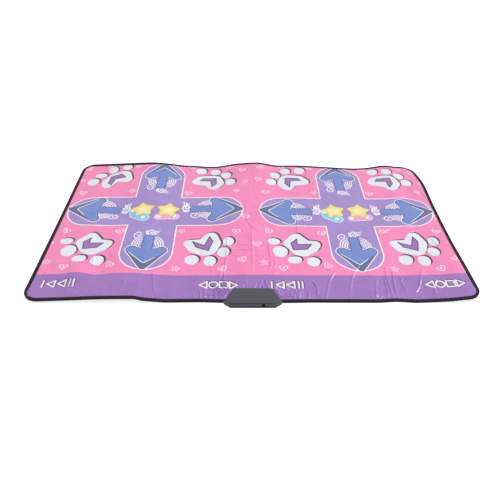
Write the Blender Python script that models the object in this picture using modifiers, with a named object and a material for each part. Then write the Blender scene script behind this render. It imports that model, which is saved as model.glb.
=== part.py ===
"""Two-player dance mat: a layered sheet with sprung step zones and a control box on one edge.

Metres, +Z up. The origin is the middle of the mat's underside, +X runs along the mat's
length and -Y points to the edge that carries the control box.
"""

import math

import bmesh
import bpy
from mathutils import Matrix, Vector

# Fits
FIT_GAP = 0.0003
WINDOW_CLEARANCE = 0.0015
BOX_CLEARANCE = 0.0005

# Step zones, in a square of three by three for each player with a fixed middle
ZONE_SIZE = 0.205
ZONE_GAP = 0.050
ZONE_CORNER = 0.012
HALF_CENTRE_GAP = 0.0625
SIDE_MARGIN = 0.0475
REAR_MARGIN = 0.0315

# Start and select zones, in the band along the near edge
KEY_WIDTH = 0.140
KEY_DEPTH = 0.056
KEY_CORNER = 0.010
KEY_SIDE_MARGIN = 0.040
KEY_ROW_GAP = 0.0725
FRONT_MARGIN = 0.055

# Layers, from the floor up
BOTTOM_COVER_THICKNESS = 0.0007
CUSHION_THICKNESS = 0.0024
FILM_THICKNESS = 0.0003
SPACER_THICKNESS = 0.0025
TOP_COVER_THICKNESS = 0.0007
PAD_THICKNESS = 0.0008
MAT_CORNER = 0.055
PLAYER_GAP = 0.010

# Edge binding
TAPE_THICKNESS = 0.0007
TAPE_WIDTH = 0.011

# Contact films
FILM_MARGIN = 0.003
FILM_INNER_GAP = 0.020
TAIL_WIDTH = 0.026
TAIL_OFFSET = 0.027
TAIL_REACH = 0.012
TAIL_ROOT = 0.012

# Control box: its plan at the floor and at its roof, which is drawn in but for the back
BOX_BACK_WIDTH = 0.150
BOX_WIDTH = 0.214
BOX_FRONT_WIDTH = 0.161
BOX_DEPTH = 0.0765
BOX_SHOULDER = 0.0205
ROOF_BACK_WIDTH = 0.144
ROOF_WIDTH = 0.201
ROOF_FRONT_WIDTH = 0.159
ROOF_SHOULDER = 0.010
ROOF_SETBACK = 0.0025
BOX_OVERLAP = 0.053
BOX_HEIGHT = 0.025
BOX_WALL = 0.0022
BOX_FLOOR = 0.0020
BOX_CORNER = 0.005
BOX_RIM_RADIUS = 0.0030
BOX_FOOT_RADIUS = 0.0010
CLAMP_LIP = 0.010

# Box screws and their bosses
BOSS_RADIUS = 0.0040
TOP_BOSS_RADIUS = 0.0035
BOX_SCREW_RADIUS = 0.0011
BOX_SCREW_HEAD_RADIUS = 0.0023
BOX_SCREW_HEAD = 0.0017
BOX_SCREW_LENGTH = 0.012
COUNTERBORE_DEPTH = 0.0030
REAR_SCREW_INSET = 0.030
FRONT_SCREW_INSET = 0.019

# Circuit board and what it carries
BOARD_THICKNESS = 0.0016
BOARD_CLEARANCE = 0.0020
BOARD_FRONT_GAP = 0.0058
POST_RADIUS = 0.0025
POST_INSET = 0.006
BOARD_SCREW_RADIUS = 0.0009
BOARD_SCREW_HEAD_RADIUS = 0.0019
BOARD_SCREW_HEAD = 0.0013
BOARD_SCREW_LENGTH = 0.0030
RUBBER_DEPTH = 0.006
CHIP_RADIUS = 0.0075
CHIP_HEIGHT = 0.0016
CHIP_OFFSET = -0.010
CRYSTAL_SIZE = (0.011, 0.0045, 0.0035)
CRYSTAL_OFFSET = -0.034
CAPACITOR_RADIUS = 0.0025
CAPACITOR_HEIGHT = 0.007
CAPACITOR_OFFSET = 0.012

# Data port
PORT_OFFSET = 0.037
PORT_WIDTH = 0.0120
PORT_HEIGHT = 0.0124
PORT_DEPTH = 0.0160
PORT_RECESS = 0.0004
PORT_BORE_WIDTH = 0.0090
PORT_BORE_HEIGHT = 0.0088
PORT_BORE_FLOOR = 0.0022
PORT_BORE_DEPTH = 0.0130

# Facets
MAT_CORNER_STEPS = 10
CORNER_STEPS = 4
ROUND_STEPS = 16
BEVEL_STEPS = 3

# How far a cutter runs past what it cuts
PAST = 0.010

# The mat's plan, worked out from the zones
CROSS_X = HALF_CENTRE_GAP + ZONE_SIZE * 1.5 + ZONE_GAP
ZONE_PITCH = ZONE_SIZE + ZONE_GAP
HALF_LENGTH = CROSS_X + ZONE_PITCH + ZONE_SIZE / 2 + SIDE_MARGIN
ZONE_ROWS = 2 * ZONE_PITCH + ZONE_SIZE
DEPTH = FRONT_MARGIN + KEY_DEPTH + KEY_ROW_GAP + ZONE_ROWS + REAR_MARGIN
REAR_Y = DEPTH / 2
NEAR_Y = -DEPTH / 2
KEY_Y = NEAR_Y + FRONT_MARGIN + KEY_DEPTH / 2
CROSS_Y = REAR_Y - REAR_MARGIN - ZONE_ROWS / 2
KEY_SPREAD = HALF_LENGTH - KEY_SIDE_MARGIN - KEY_WIDTH / 2 - CROSS_X

# Heights of the layers
CUSHION_Z = BOTTOM_COVER_THICKNESS + FIT_GAP
FILM_Z = CUSHION_Z + CUSHION_THICKNESS + FIT_GAP
SPACER_Z = FILM_Z + FILM_THICKNESS + FIT_GAP
COVER_Z = SPACER_Z + SPACER_THICKNESS + FIT_GAP
COVER_TOP = COVER_Z + TOP_COVER_THICKNESS
FLAP_Z = COVER_TOP + FIT_GAP
FLAP_TOP = FLAP_Z + TAPE_THICKNESS
PAD_Z = SPACER_Z + SPACER_THICKNESS - PAD_THICKNESS
LAYER_INSET = TAPE_THICKNESS + FIT_GAP

# Places in the control box
BOX_BACK_Y = NEAR_Y + BOX_OVERLAP
BOX_FRONT_Y = BOX_BACK_Y - BOX_DEPTH
SHOULDER_Y = BOX_FRONT_Y + BOX_SHOULDER
ROOF_FRONT_Y = BOX_FRONT_Y + ROOF_SETBACK
ROOF_SHOULDER_Y = ROOF_FRONT_Y + ROOF_SHOULDER
PARTING_Z = COVER_TOP
TOP_SHELL_Z = FLAP_Z
CLAMP_Z = SPACER_Z - FIT_GAP
BOARD_Z = FILM_Z + FILM_THICKNESS + FIT_GAP
BOARD_TOP = BOARD_Z + BOARD_THICKNESS
ON_BOARD_Z = BOARD_TOP + FIT_GAP
BOARD_BACK_Y = BOX_BACK_Y - CLAMP_LIP - BOARD_CLEARANCE
BOARD_FRONT_Y = BOX_FRONT_Y + BOX_WALL + BOARD_FRONT_GAP
BOARD_Y = (BOARD_BACK_Y + BOARD_FRONT_Y) / 2
BOX_SCREW_Z = COUNTERBORE_DEPTH - FIT_GAP
PORT_TOP = ON_BOARD_Z + PORT_HEIGHT
PORT_FRONT_Y = BOX_FRONT_Y + ROOF_SETBACK * PORT_TOP / BOX_HEIGHT + PORT_RECESS


def corners_of(low_x, high_x, low_y, high_y):
    """A rectangle's corners, counterclockwise."""
    return [Vector((low_x, low_y)), Vector((high_x, low_y)),
            Vector((high_x, high_y)), Vector((low_x, high_y))]


def inset(corners, distance):
    """A counterclockwise polygon with each side moved inwards by that distance."""
    moved = []
    for i, corner in enumerate(corners):
        arriving = (corner - corners[i - 1]).normalized()
        leaving = (corners[(i + 1) % len(corners)] - corner).normalized()
        first = Vector((-arriving.y, arriving.x))
        second = Vector((-leaving.y, leaving.x))
        moved.append(corner + (first + second) * distance / (1 + first.dot(second)))
    return moved


def rounded(corners, radii, steps=CORNER_STEPS):
    """A polygon whose corners are arcs of these radii, where 0 leaves a corner sharp."""
    outline = []
    for i, (corner, radius) in enumerate(zip(corners, radii)):
        if radius <= 0:
            outline.append(corner)
            continue
        back = (corners[i - 1] - corner).normalized()
        ahead = (corners[(i + 1) % len(corners)] - corner).normalized()
        half = back.angle(ahead) / 2
        centre = corner + (back + ahead).normalized() * radius / math.sin(half)
        start = corner + back * radius / math.tan(half) - centre
        turn = math.copysign(math.pi - 2 * half, ahead.cross(back))
        for step in range(steps + 1):
            outline.append(centre + Matrix.Rotation(turn * step / steps, 2) @ start)
    return outline


def rounded_rectangle(width, depth, radius):
    """A rectangle round the origin with equal corners."""
    return rounded(corners_of(-width / 2, width / 2, -depth / 2, depth / 2), [radius] * 4)


def mat_outline(distance):
    """The mat's rounded outline, moved inwards by that distance."""
    corners = corners_of(-HALF_LENGTH, HALF_LENGTH, NEAR_Y, REAR_Y)
    return rounded(inset(corners, distance), [MAT_CORNER - distance] * 4, MAT_CORNER_STEPS)


def box_corners(height):
    """The control box's plan at a height, counterclockwise from the back left corner."""
    floor = [Vector((-BOX_BACK_WIDTH / 2, BOX_BACK_Y)), Vector((-BOX_WIDTH / 2, SHOULDER_Y)),
             Vector((-BOX_FRONT_WIDTH / 2, BOX_FRONT_Y))]
    roof = [Vector((-ROOF_BACK_WIDTH / 2, BOX_BACK_Y)),
            Vector((-ROOF_WIDTH / 2, ROOF_SHOULDER_Y)),
            Vector((-ROOF_FRONT_WIDTH / 2, ROOF_FRONT_Y))]
    left = [low + (high - low) * height / BOX_HEIGHT for low, high in zip(floor, roof)]
    return left + [Vector((-point.x, point.y)) for point in reversed(left)]


def box_outline(height, distance):
    """The box's plan at a height with rounded corners, moved inwards by that distance."""
    return rounded(inset(box_corners(height), distance), [BOX_CORNER - distance] * 6)


def clear_scene():
    """Empty the scene."""
    for thing in list(bpy.data.objects):
        bpy.data.objects.remove(thing, do_unlink=True)


def new_collection(name):
    """A collection linked to the scene."""
    collection = bpy.data.collections.new(name)
    bpy.context.scene.collection.children.link(collection)
    return collection


def material(name, colour, roughness, metallic=0.0):
    """A plain Principled material."""
    made = bpy.data.materials.new(name)
    made.use_nodes = True
    shader = made.node_tree.nodes["Principled BSDF"]
    shader.inputs["Base Color"].default_value = (*colour, 1.0)
    shader.inputs["Roughness"].default_value = roughness
    shader.inputs["Metallic"].default_value = metallic
    return made


def add_mesh(name, mesh, location, finish):
    """A mesh object among the parts or, with no finish, among the cutters."""
    made = bpy.data.objects.new(name, mesh)
    made.location = location
    if finish is None:
        CUTTERS.objects.link(made)
        made.hide_render = True
        made.display_type = "WIRE"
    else:
        PARTS.objects.link(made)
        mesh.materials.append(finish)
    return made


def plate(name, loops, bottom, thickness, finish=None, centre=(0.0, 0.0)):
    """A flat sheet, or several side by side, from their outlines: a filled curve made a mesh."""
    curve = bpy.data.curves.new(name, "CURVE")
    curve.dimensions = "2D"
    curve.fill_mode = "BOTH"
    curve.extrude = thickness / 2
    for loop in loops:
        spline = curve.splines.new("POLY")
        spline.points.add(len(loop) - 1)
        for point, place in zip(spline.points, loop):
            point.co = (place.x, place.y, 0.0, 1.0)
        spline.use_cyclic_u = True
    drawn = bpy.data.objects.new(name + "_outline", curve)
    CUTTERS.objects.link(drawn)
    depsgraph = bpy.context.evaluated_depsgraph_get()
    mesh = bpy.data.meshes.new_from_object(drawn.evaluated_get(depsgraph))
    bpy.data.objects.remove(drawn, do_unlink=True)
    bpy.data.curves.remove(curve)
    welded = bmesh.new()
    welded.from_mesh(mesh)
    bmesh.ops.remove_doubles(welded, verts=welded.verts, dist=0.00001)
    bmesh.ops.recalc_face_normals(welded, faces=welded.faces)
    bmesh.ops.dissolve_limit(welded, angle_limit=0.001, verts=welded.verts, edges=welded.edges)
    welded.to_mesh(mesh)
    welded.free()
    mesh.name = name
    return add_mesh(name, mesh, (centre[0], centre[1], bottom + thickness / 2), finish)


def box_block(name, rings, finish=None):
    """The hull of the control box's plan at some (height, distance inwards) rings."""
    middle = (rings[0][0] + rings[-1][0]) / 2
    mesh = bpy.data.meshes.new(name)
    made = bmesh.new()
    for height, distance in rings:
        for point in box_outline(height, distance):
            made.verts.new((point.x, point.y, height - middle))
    hull = bmesh.ops.convex_hull(made, input=made.verts)
    inner = [part for part in hull["geom_interior"] if isinstance(part, bmesh.types.BMVert)]
    bmesh.ops.delete(made, geom=inner, context="VERTS")
    bmesh.ops.dissolve_limit(made, angle_limit=0.001, verts=made.verts, edges=made.edges)
    made.to_mesh(mesh)
    made.free()
    return add_mesh(name, mesh, (0.0, 0.0, middle), finish)


def quarter_round(radius):
    """Points of a rounded edge, as (depth from the flat face, distance inwards)."""
    turns = [math.pi / 2 * step / BEVEL_STEPS for step in range(BEVEL_STEPS + 1)]
    return [(radius * (1 - math.sin(turn)), radius * (1 - math.cos(turn))) for turn in turns]


def pillars(name, centres, radius, bottom, top, finish=None):
    """Upright cylinders, used together."""
    mesh = bpy.data.meshes.new(name)
    made = bmesh.new()
    for x, y in centres:
        place = Matrix.Translation((x, y, (bottom + top) / 2))
        bmesh.ops.create_cone(made, cap_ends=True, segments=ROUND_STEPS, radius1=radius,
                              radius2=radius, depth=top - bottom, matrix=place)
    made.to_mesh(mesh)
    made.free()
    return add_mesh(name, mesh, (0.0, 0.0, 0.0), finish)


def block(name, low, high, finish=None):
    """A box between two corners."""
    mesh = bpy.data.meshes.new(name)
    made = bmesh.new()
    low, high = Vector(low), Vector(high)
    bmesh.ops.create_cube(made, size=1.0, matrix=Matrix.Diagonal((*(high - low), 1.0)))
    made.to_mesh(mesh)
    made.free()
    return add_mesh(name, mesh, (low + high) / 2, finish)


def turned(name, profile, location, finish):
    """A solid of revolution from (radius, height) points, from its top to its bottom."""
    mesh = bpy.data.meshes.new(name)
    points = [(radius, 0.0, height) for radius, height in profile]
    mesh.from_pydata(points, [(i, i + 1) for i in range(len(points) - 1)], [])
    made = add_mesh(name, mesh, location, finish)
    spin = made.modifiers.new("turn", "SCREW")
    spin.steps = ROUND_STEPS
    spin.render_steps = ROUND_STEPS
    spin.use_merge_vertices = True
    spin.merge_threshold = 0.00001
    spin.use_smooth_shade = False
    return made


def cut(target, cutter, operation="DIFFERENCE"):
    """A Boolean of the target and another object."""
    step = target.modifiers.new(cutter.name, "BOOLEAN")
    step.object = cutter
    step.operation = operation
    step.solver = "EXACT"


def zone_centres(side):
    """The name and centre of each step zone of one player."""
    columns = {"left": -ZONE_PITCH, "middle": 0.0, "right": ZONE_PITCH}
    rows = {"front": -ZONE_PITCH, "centre": 0.0, "rear": ZONE_PITCH}
    for row, y in rows.items():
        for column, x in columns.items():
            if x or y:
                yield f"{row}_{column}", (side * CROSS_X + x, CROSS_Y + y)


def key_centres(side):
    """The name and centre of the start and select zones of one player."""
    yield "start", (side * CROSS_X - KEY_SPREAD, KEY_Y)
    yield "select", (side * CROSS_X + KEY_SPREAD, KEY_Y)


def moved(loop, centre):
    """A loop drawn round the origin, moved to a centre."""
    return [point + Vector(centre) for point in loop]


def make_covers():
    """The printed top cover, the bottom cover and the cushion foam between them."""
    top = plate("top_cover", [mat_outline(LAYER_INSET)], COVER_Z, TOP_COVER_THICKNESS,
                PRINTED_COVER)
    cut(top, UPPER_NOTCH)
    bottom_inset = TAPE_WIDTH + FIT_GAP
    bottom = plate("bottom_cover", [mat_outline(bottom_inset)], 0.0, BOTTOM_COVER_THICKNESS,
                   NON_SLIP_COVER)
    cut(bottom, LOWER_NOTCH)
    cushion = plate("cushion_foam", [mat_outline(LAYER_INSET)], CUSHION_Z, CUSHION_THICKNESS,
                    FOAM)
    cut(cushion, LOWER_NOTCH)


def make_binding():
    """The tape folded round the mat's edge, open where the box clamps the mat."""
    binding = plate("edge_binding", [mat_outline(0.0)], 0.0, FLAP_TOP, TAPE)
    cut(binding, plate("binding_opening", [mat_outline(TAPE_WIDTH)], -PAST,
                       FLAP_TOP + 2 * PAST))
    channel = plate("binding_channel", [mat_outline(TAPE_THICKNESS)], TAPE_THICKNESS,
                    FLAP_Z - TAPE_THICKNESS)
    cut(binding, channel)
    cut(binding, LOWER_NOTCH)


def make_player(name, side):
    """One player's spacer foam, contact film with its tail, and ten contact pads."""
    inner = side * PLAYER_GAP / 2
    outer = side * HALF_LENGTH
    corners = corners_of(min(inner, outer), max(inner, outer), NEAR_Y, REAR_Y)
    corners = inset(corners, LAYER_INSET)
    radius = MAT_CORNER - LAYER_INSET
    radii = [radius if point.x * side > CROSS_X else 0.0 for point in corners]
    zone_window = rounded_rectangle(ZONE_SIZE + 2 * WINDOW_CLEARANCE,
                                    ZONE_SIZE + 2 * WINDOW_CLEARANCE,
                                    ZONE_CORNER + WINDOW_CLEARANCE)
    key_window = rounded_rectangle(KEY_WIDTH + 2 * WINDOW_CLEARANCE,
                                   KEY_DEPTH + 2 * WINDOW_CLEARANCE,
                                   KEY_CORNER + WINDOW_CLEARANCE)
    zones = list(zone_centres(side))
    keys = list(key_centres(side))
    windows = [moved(zone_window, centre) for _, centre in zones]
    windows += [moved(key_window, centre) for _, centre in keys]
    spacer = plate(f"spacer_foam_{name}", [rounded(corners, radii, MAT_CORNER_STEPS)],
                   SPACER_Z, SPACER_THICKNESS, FOAM)
    cut(spacer, plate(f"windows_{name}", windows, SPACER_Z - PAST,
                      SPACER_THICKNESS + 2 * PAST))
    cut(spacer, UPPER_NOTCH)

    film_inner = side * FILM_INNER_GAP / 2
    film_outer = side * (HALF_LENGTH - min(SIDE_MARGIN, KEY_SIDE_MARGIN) + FILM_MARGIN)
    film = plate(f"contact_film_{name}",
                 [corners_of(min(film_inner, film_outer), max(film_inner, film_outer),
                             NEAR_Y + FRONT_MARGIN - FILM_MARGIN,
                             REAR_Y - REAR_MARGIN + FILM_MARGIN)],
                 FILM_Z, FILM_THICKNESS, FILM)
    cut(film, LOWER_NOTCH)
    tail_x = side * TAIL_OFFSET
    tail = plate(f"film_tail_{name}",
                 [corners_of(tail_x - TAIL_WIDTH / 2, tail_x + TAIL_WIDTH / 2,
                             BOARD_BACK_Y - TAIL_REACH,
                             NEAR_Y + FRONT_MARGIN + TAIL_ROOT)],
                 FILM_Z, FILM_THICKNESS)
    cut(film, tail, "UNION")

    zone_loop = rounded_rectangle(ZONE_SIZE, ZONE_SIZE, ZONE_CORNER)
    for place, centre in zones:
        plate(f"{name}_{place}_pad", [zone_loop], PAD_Z, PAD_THICKNESS, CONTACT_PAD, centre)
    key_loop = rounded_rectangle(KEY_WIDTH, KEY_DEPTH, KEY_CORNER)
    for place, centre in keys:
        plate(f"{name}_{place}_pad", [key_loop], PAD_Z, PAD_THICKNESS, CONTACT_PAD, centre)


def box_screw_places():
    """Where the four screws hold the two shells together."""
    rear_x = BOARD_HALF_WIDTH + BOSS_RADIUS + BOARD_CLEARANCE / 2
    front_x = BOX_WIDTH / 2 - FRONT_SCREW_INSET
    rear_y = BOX_BACK_Y - REAR_SCREW_INSET
    return {"rear_left": (-rear_x, rear_y), "rear_right": (rear_x, rear_y),
            "front_left": (-front_x, SHOULDER_Y), "front_right": (front_x, SHOULDER_Y)}


def board_screw_places():
    """Where the four screws hold the board to its posts."""
    x = BOARD_HALF_WIDTH - POST_INSET
    rear_y = BOARD_BACK_Y - POST_INSET
    front_y = BOARD_FRONT_Y + POST_INSET
    return {"rear_left": (-x, rear_y), "rear_right": (x, rear_y),
            "front_left": (-x, front_y), "front_right": (x, front_y)}


def port_opening():
    """The cutter for the port's opening in the front walls."""
    half = PORT_WIDTH / 2 + FIT_GAP
    return block("port_opening",
                 (PORT_OFFSET - half, BOX_FRONT_Y - PAST, ON_BOARD_Z - FIT_GAP),
                 (PORT_OFFSET + half, PORT_FRONT_Y + PORT_DEPTH, PORT_TOP + FIT_GAP))


def make_top_shell(opening):
    """The upper shell of the box, with its screw bosses."""
    places = box_screw_places().values()
    roof = BOX_HEIGHT - BOX_WALL
    rim = [(BOX_HEIGHT - depth, inward) for depth, inward in quarter_round(BOX_RIM_RADIUS)]
    shell = box_block("box_top_shell", [(TOP_SHELL_Z, 0.0)] + rim, BOX_PLASTIC)
    cut(shell, box_block("top_cavity", [(TOP_SHELL_Z - FIT_GAP, BOX_WALL), (roof, BOX_WALL)]))
    cut(shell, pillars("top_bosses", places, TOP_BOSS_RADIUS, TOP_SHELL_Z,
                       roof + BOX_WALL / 2), "UNION")
    cut(shell, pillars("top_screw_holes", places, BOX_SCREW_RADIUS + FIT_GAP,
                       TOP_SHELL_Z - PAST, BOX_SCREW_Z + BOX_SCREW_LENGTH + FIT_GAP))
    cut(shell, opening)


def make_bottom_shell(opening):
    """The lower shell of the box: floor, low walls under the mat, bosses and board posts."""
    shell = box_block("box_bottom_shell", [(PARTING_Z, 0.0)] + quarter_round(BOX_FOOT_RADIUS),
                      BOX_PLASTIC)
    cut(shell, box_block("bottom_cavity", [(BOX_FLOOR, BOX_WALL),
                                           (PARTING_Z + FIT_GAP, BOX_WALL)]))
    cut(shell, block("mat_entry", (-BOX_WIDTH, NEAR_Y - FIT_GAP, CLAMP_Z),
                     (BOX_WIDTH, BOX_BACK_Y + PAST, PARTING_Z + PAST)))
    for name, side in PLAYERS.items():
        x = side * TAIL_OFFSET
        half = TAIL_WIDTH / 2 + FIT_GAP
        cut(shell, block(f"tail_slot_{name}",
                         (x - half, BOX_BACK_Y - CLAMP_LIP, FILM_Z - FIT_GAP),
                         (x + half, BOX_BACK_Y + PAST, PARTING_Z)))
    places = box_screw_places().values()
    cut(shell, pillars("bottom_bosses", places, BOSS_RADIUS, BOX_FLOOR / 2, PARTING_Z),
        "UNION")
    posts = board_screw_places().values()
    cut(shell, pillars("board_posts", posts, POST_RADIUS, BOX_FLOOR / 2,
                       BOARD_Z - FIT_GAP), "UNION")
    cut(shell, pillars("bottom_screw_holes", places, BOX_SCREW_RADIUS + FIT_GAP, -PAST,
                       PARTING_Z + PAST))
    cut(shell, pillars("counterbores", places, BOX_SCREW_HEAD_RADIUS + FIT_GAP, -PAST,
                       COUNTERBORE_DEPTH))
    cut(shell, pillars("post_holes", posts, BOARD_SCREW_RADIUS + FIT_GAP,
                       ON_BOARD_Z - BOARD_SCREW_LENGTH - FIT_GAP, PARTING_Z + PAST))
    cut(shell, opening)


def make_screws():
    """Four screws from beneath through the shells, and four that hold the board."""
    head_bottom = BOX_SCREW_Z - BOX_SCREW_HEAD
    profile = [(0.0, BOX_SCREW_Z + BOX_SCREW_LENGTH),
               (BOX_SCREW_RADIUS, BOX_SCREW_Z + BOX_SCREW_LENGTH),
               (BOX_SCREW_RADIUS, BOX_SCREW_Z), (BOX_SCREW_HEAD_RADIUS, BOX_SCREW_Z),
               (BOX_SCREW_HEAD_RADIUS, head_bottom), (0.0, head_bottom)]
    for place, (x, y) in box_screw_places().items():
        turned(f"box_screw_{place}", profile, (x, y, 0.0), SCREW_STEEL)
    head_top = ON_BOARD_Z + BOARD_SCREW_HEAD
    tip = ON_BOARD_Z - BOARD_SCREW_LENGTH
    profile = [(0.0, head_top), (BOARD_SCREW_HEAD_RADIUS, head_top),
               (BOARD_SCREW_HEAD_RADIUS, ON_BOARD_Z), (BOARD_SCREW_RADIUS, ON_BOARD_Z),
               (BOARD_SCREW_RADIUS, tip), (0.0, tip)]
    for place, (x, y) in board_screw_places().items():
        turned(f"board_screw_{place}", profile, (x, y, 0.0), SCREW_STEEL)


def make_board():
    """The circuit board, its chip, crystal and capacitor, and the strip under the tails."""
    board = block("circuit_board", (-BOARD_HALF_WIDTH, BOARD_FRONT_Y, BOARD_Z),
                  (BOARD_HALF_WIDTH, BOARD_BACK_Y, BOARD_TOP), BOARD_LAMINATE)
    cut(board, pillars("board_holes", board_screw_places().values(),
                       BOARD_SCREW_RADIUS + FIT_GAP, BOARD_Z - PAST, BOARD_TOP + PAST))
    turned("controller_chip",
           [(0.0, ON_BOARD_Z + CHIP_HEIGHT), (CHIP_RADIUS / 2, ON_BOARD_Z + CHIP_HEIGHT * 0.9),
            (CHIP_RADIUS * 0.85, ON_BOARD_Z + CHIP_HEIGHT * 0.55),
            (CHIP_RADIUS, ON_BOARD_Z), (0.0, ON_BOARD_Z)],
           (CHIP_OFFSET, BOARD_Y, 0.0), CHIP_RESIN)
    width, depth, height = CRYSTAL_SIZE
    block("crystal", (CRYSTAL_OFFSET - width / 2, BOARD_Y - depth / 2, ON_BOARD_Z),
          (CRYSTAL_OFFSET + width / 2, BOARD_Y + depth / 2, ON_BOARD_Z + height), SCREW_STEEL)
    pillars("capacitor", [(CAPACITOR_OFFSET, BOARD_Y)], CAPACITOR_RADIUS, ON_BOARD_Z,
            ON_BOARD_Z + CAPACITOR_HEIGHT, CAPACITOR_SLEEVE)
    strip_x = TAIL_OFFSET + TAIL_WIDTH / 2
    strip_y = BOARD_BACK_Y - TAIL_REACH + RUBBER_DEPTH
    block("rubber_strip", (-strip_x, strip_y - RUBBER_DEPTH, BOX_FLOOR + FIT_GAP),
          (strip_x, strip_y, FILM_Z - FIT_GAP), RUBBER)


def make_port():
    """The square data socket on the board, open to the front."""
    port = block("port_socket", (PORT_OFFSET - PORT_WIDTH / 2, PORT_FRONT_Y, ON_BOARD_Z),
                 (PORT_OFFSET + PORT_WIDTH / 2, PORT_FRONT_Y + PORT_DEPTH, PORT_TOP),
                 PORT_PLASTIC)
    floor = ON_BOARD_Z + PORT_BORE_FLOOR
    cut(port, block("port_bore",
                    (PORT_OFFSET - PORT_BORE_WIDTH / 2, PORT_FRONT_Y - PAST, floor),
                    (PORT_OFFSET + PORT_BORE_WIDTH / 2, PORT_FRONT_Y + PORT_BORE_DEPTH,
                     floor + PORT_BORE_HEIGHT)))


clear_scene()
PARTS = new_collection("dance_mat")
CUTTERS = new_collection("cutters")
CUTTERS.hide_render = True

PRINTED_COVER = material("printed_cover", (0.90, 0.27, 0.48), 0.35)
NON_SLIP_COVER = material("non_slip_cover", (0.03, 0.03, 0.035), 0.85)
TAPE = material("edge_tape", (0.028, 0.020, 0.030), 0.80)
FOAM = material("white_foam", (0.80, 0.80, 0.78), 0.90)
FILM = material("contact_film", (0.55, 0.57, 0.60), 0.30)
CONTACT_PAD = material("contact_pad", (0.10, 0.10, 0.11), 0.50)
BOX_PLASTIC = material("box_plastic", (0.093, 0.095, 0.110), 0.50)
PORT_PLASTIC = material("port_plastic", (0.015, 0.015, 0.017), 0.45)
BOARD_LAMINATE = material("board_laminate", (0.02, 0.16, 0.06), 0.40)
CHIP_RESIN = material("chip_resin", (0.01, 0.01, 0.01), 0.25)
CAPACITOR_SLEEVE = material("capacitor_sleeve", (0.02, 0.03, 0.10), 0.35)
RUBBER = material("strip_rubber", (0.05, 0.05, 0.05), 0.80)
SCREW_STEEL = material("screw_steel", (0.60, 0.60, 0.62), 0.30, 1.0)

PLAYERS = {"left": -1, "right": 1}
NOTCH_CORNERS = inset(box_corners(COVER_TOP), CLAMP_LIP)
BOARD_HALF_WIDTH = NOTCH_CORNERS[-1].x - BOARD_CLEARANCE
LOWER_NOTCH = box_block("lower_notch", [(-FIT_GAP, -BOX_CLEARANCE),
                                        (FLAP_TOP + FIT_GAP, -BOX_CLEARANCE)])
UPPER_NOTCH = plate("upper_notch", [NOTCH_CORNERS], -PAST, FLAP_TOP + 2 * PAST)

make_covers()
make_binding()
for player, direction in PLAYERS.items():
    make_player(player, direction)
OPENING = port_opening()
make_top_shell(OPENING)
make_bottom_shell(OPENING)
make_screws()
make_board()
make_port()
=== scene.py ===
"""Two-player dance mat: the laid-out soft sheet, its print, the finish of every piece, the stage.

Metres, +Z up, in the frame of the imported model. The mat lies on the floor with shallow waves,
so each soft layer is a thin sheet whose flat pattern is cut into small triangles and then laid
over the same waves.
"""

import functools
import math

import bpy
import numpy as np
from mathutils import Matrix, Vector, geometry, kdtree


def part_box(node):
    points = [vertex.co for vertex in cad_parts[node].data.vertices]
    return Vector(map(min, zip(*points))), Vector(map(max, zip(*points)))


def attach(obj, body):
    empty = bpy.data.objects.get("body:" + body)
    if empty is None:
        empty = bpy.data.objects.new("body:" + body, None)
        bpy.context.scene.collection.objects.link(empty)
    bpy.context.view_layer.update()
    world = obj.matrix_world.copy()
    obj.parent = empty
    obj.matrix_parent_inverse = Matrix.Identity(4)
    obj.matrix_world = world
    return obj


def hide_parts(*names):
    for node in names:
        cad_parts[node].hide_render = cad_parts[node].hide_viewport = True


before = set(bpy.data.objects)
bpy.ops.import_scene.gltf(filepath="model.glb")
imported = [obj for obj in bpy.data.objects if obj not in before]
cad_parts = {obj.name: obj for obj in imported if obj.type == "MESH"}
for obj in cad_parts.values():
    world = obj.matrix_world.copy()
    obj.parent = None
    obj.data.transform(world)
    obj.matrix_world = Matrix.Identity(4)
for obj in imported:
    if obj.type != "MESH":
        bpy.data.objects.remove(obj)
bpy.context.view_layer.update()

bl_info = {
    "name": "Dance mat finish",
    "version": (1, 0, 0),
    "blender": (4, 5, 0),
    "location": "View3D > Sidebar > Dance mat",
    "description": "Prints, folds and lights a two-player dance mat",
    "category": "Object",
}

PANEL_TAB = "Dance mat"


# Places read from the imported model

COVER_LOW, COVER_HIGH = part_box("top_cover")
TAPE_LOW, TAPE_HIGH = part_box("edge_binding")
BOX_LOW, BOX_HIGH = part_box("box_top_shell")
HALF_LENGTH = TAPE_HIGH.x
NEAR_Y = TAPE_LOW.y
REAR_Y = TAPE_HIGH.y
ZONES = {name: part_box(name + "_pad") for name in
         sorted(node[:-4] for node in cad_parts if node.endswith("_pad"))}
CROSS_CENTRES = [((ZONES[side + "_front_left"][0] + ZONES[side + "_rear_right"][1]) / 2)[:2]
                 for side in ("left", "right")]

# Plan of the mat and of the control box, as in the model
MAT_CORNER = 0.055
LAYER_INSET = COVER_LOW.x + HALF_LENGTH
CLAMP_LIP = 0.010
ZONE_CORNER = 0.010
ZONE_CLEARANCE = 0.0015
BOX_CORNER = 0.005
BOX_CLEARANCE = 0.0005
BOX_HEIGHT = BOX_HIGH.z
BOX_BACK_Y = BOX_HIGH.y
BOX_FRONT_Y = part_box("box_bottom_shell")[0].y
FLOOR_PLAN = [(0.075, BOX_BACK_Y), (0.107, BOX_FRONT_Y + 0.0205), (0.0805, BOX_FRONT_Y)]
ROOF_PLAN = [(0.072, BOX_BACK_Y), (0.1005, BOX_FRONT_Y + 0.0125),
             (0.0795, BOX_FRONT_Y + 0.0025)]


# The folded tape: radius of its fold, how far in it stays pressed on the mat, and its width as a
# share of the nominal one at the near edge, with what the sides add and the rear takes off
FOLD_RADIUS = 0.0015
PRESSED_REACH = 0.011
NEAR_TRIM = 0.84
SIDE_TRIM = 0.34
REAR_TRIM = 0.06
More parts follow.
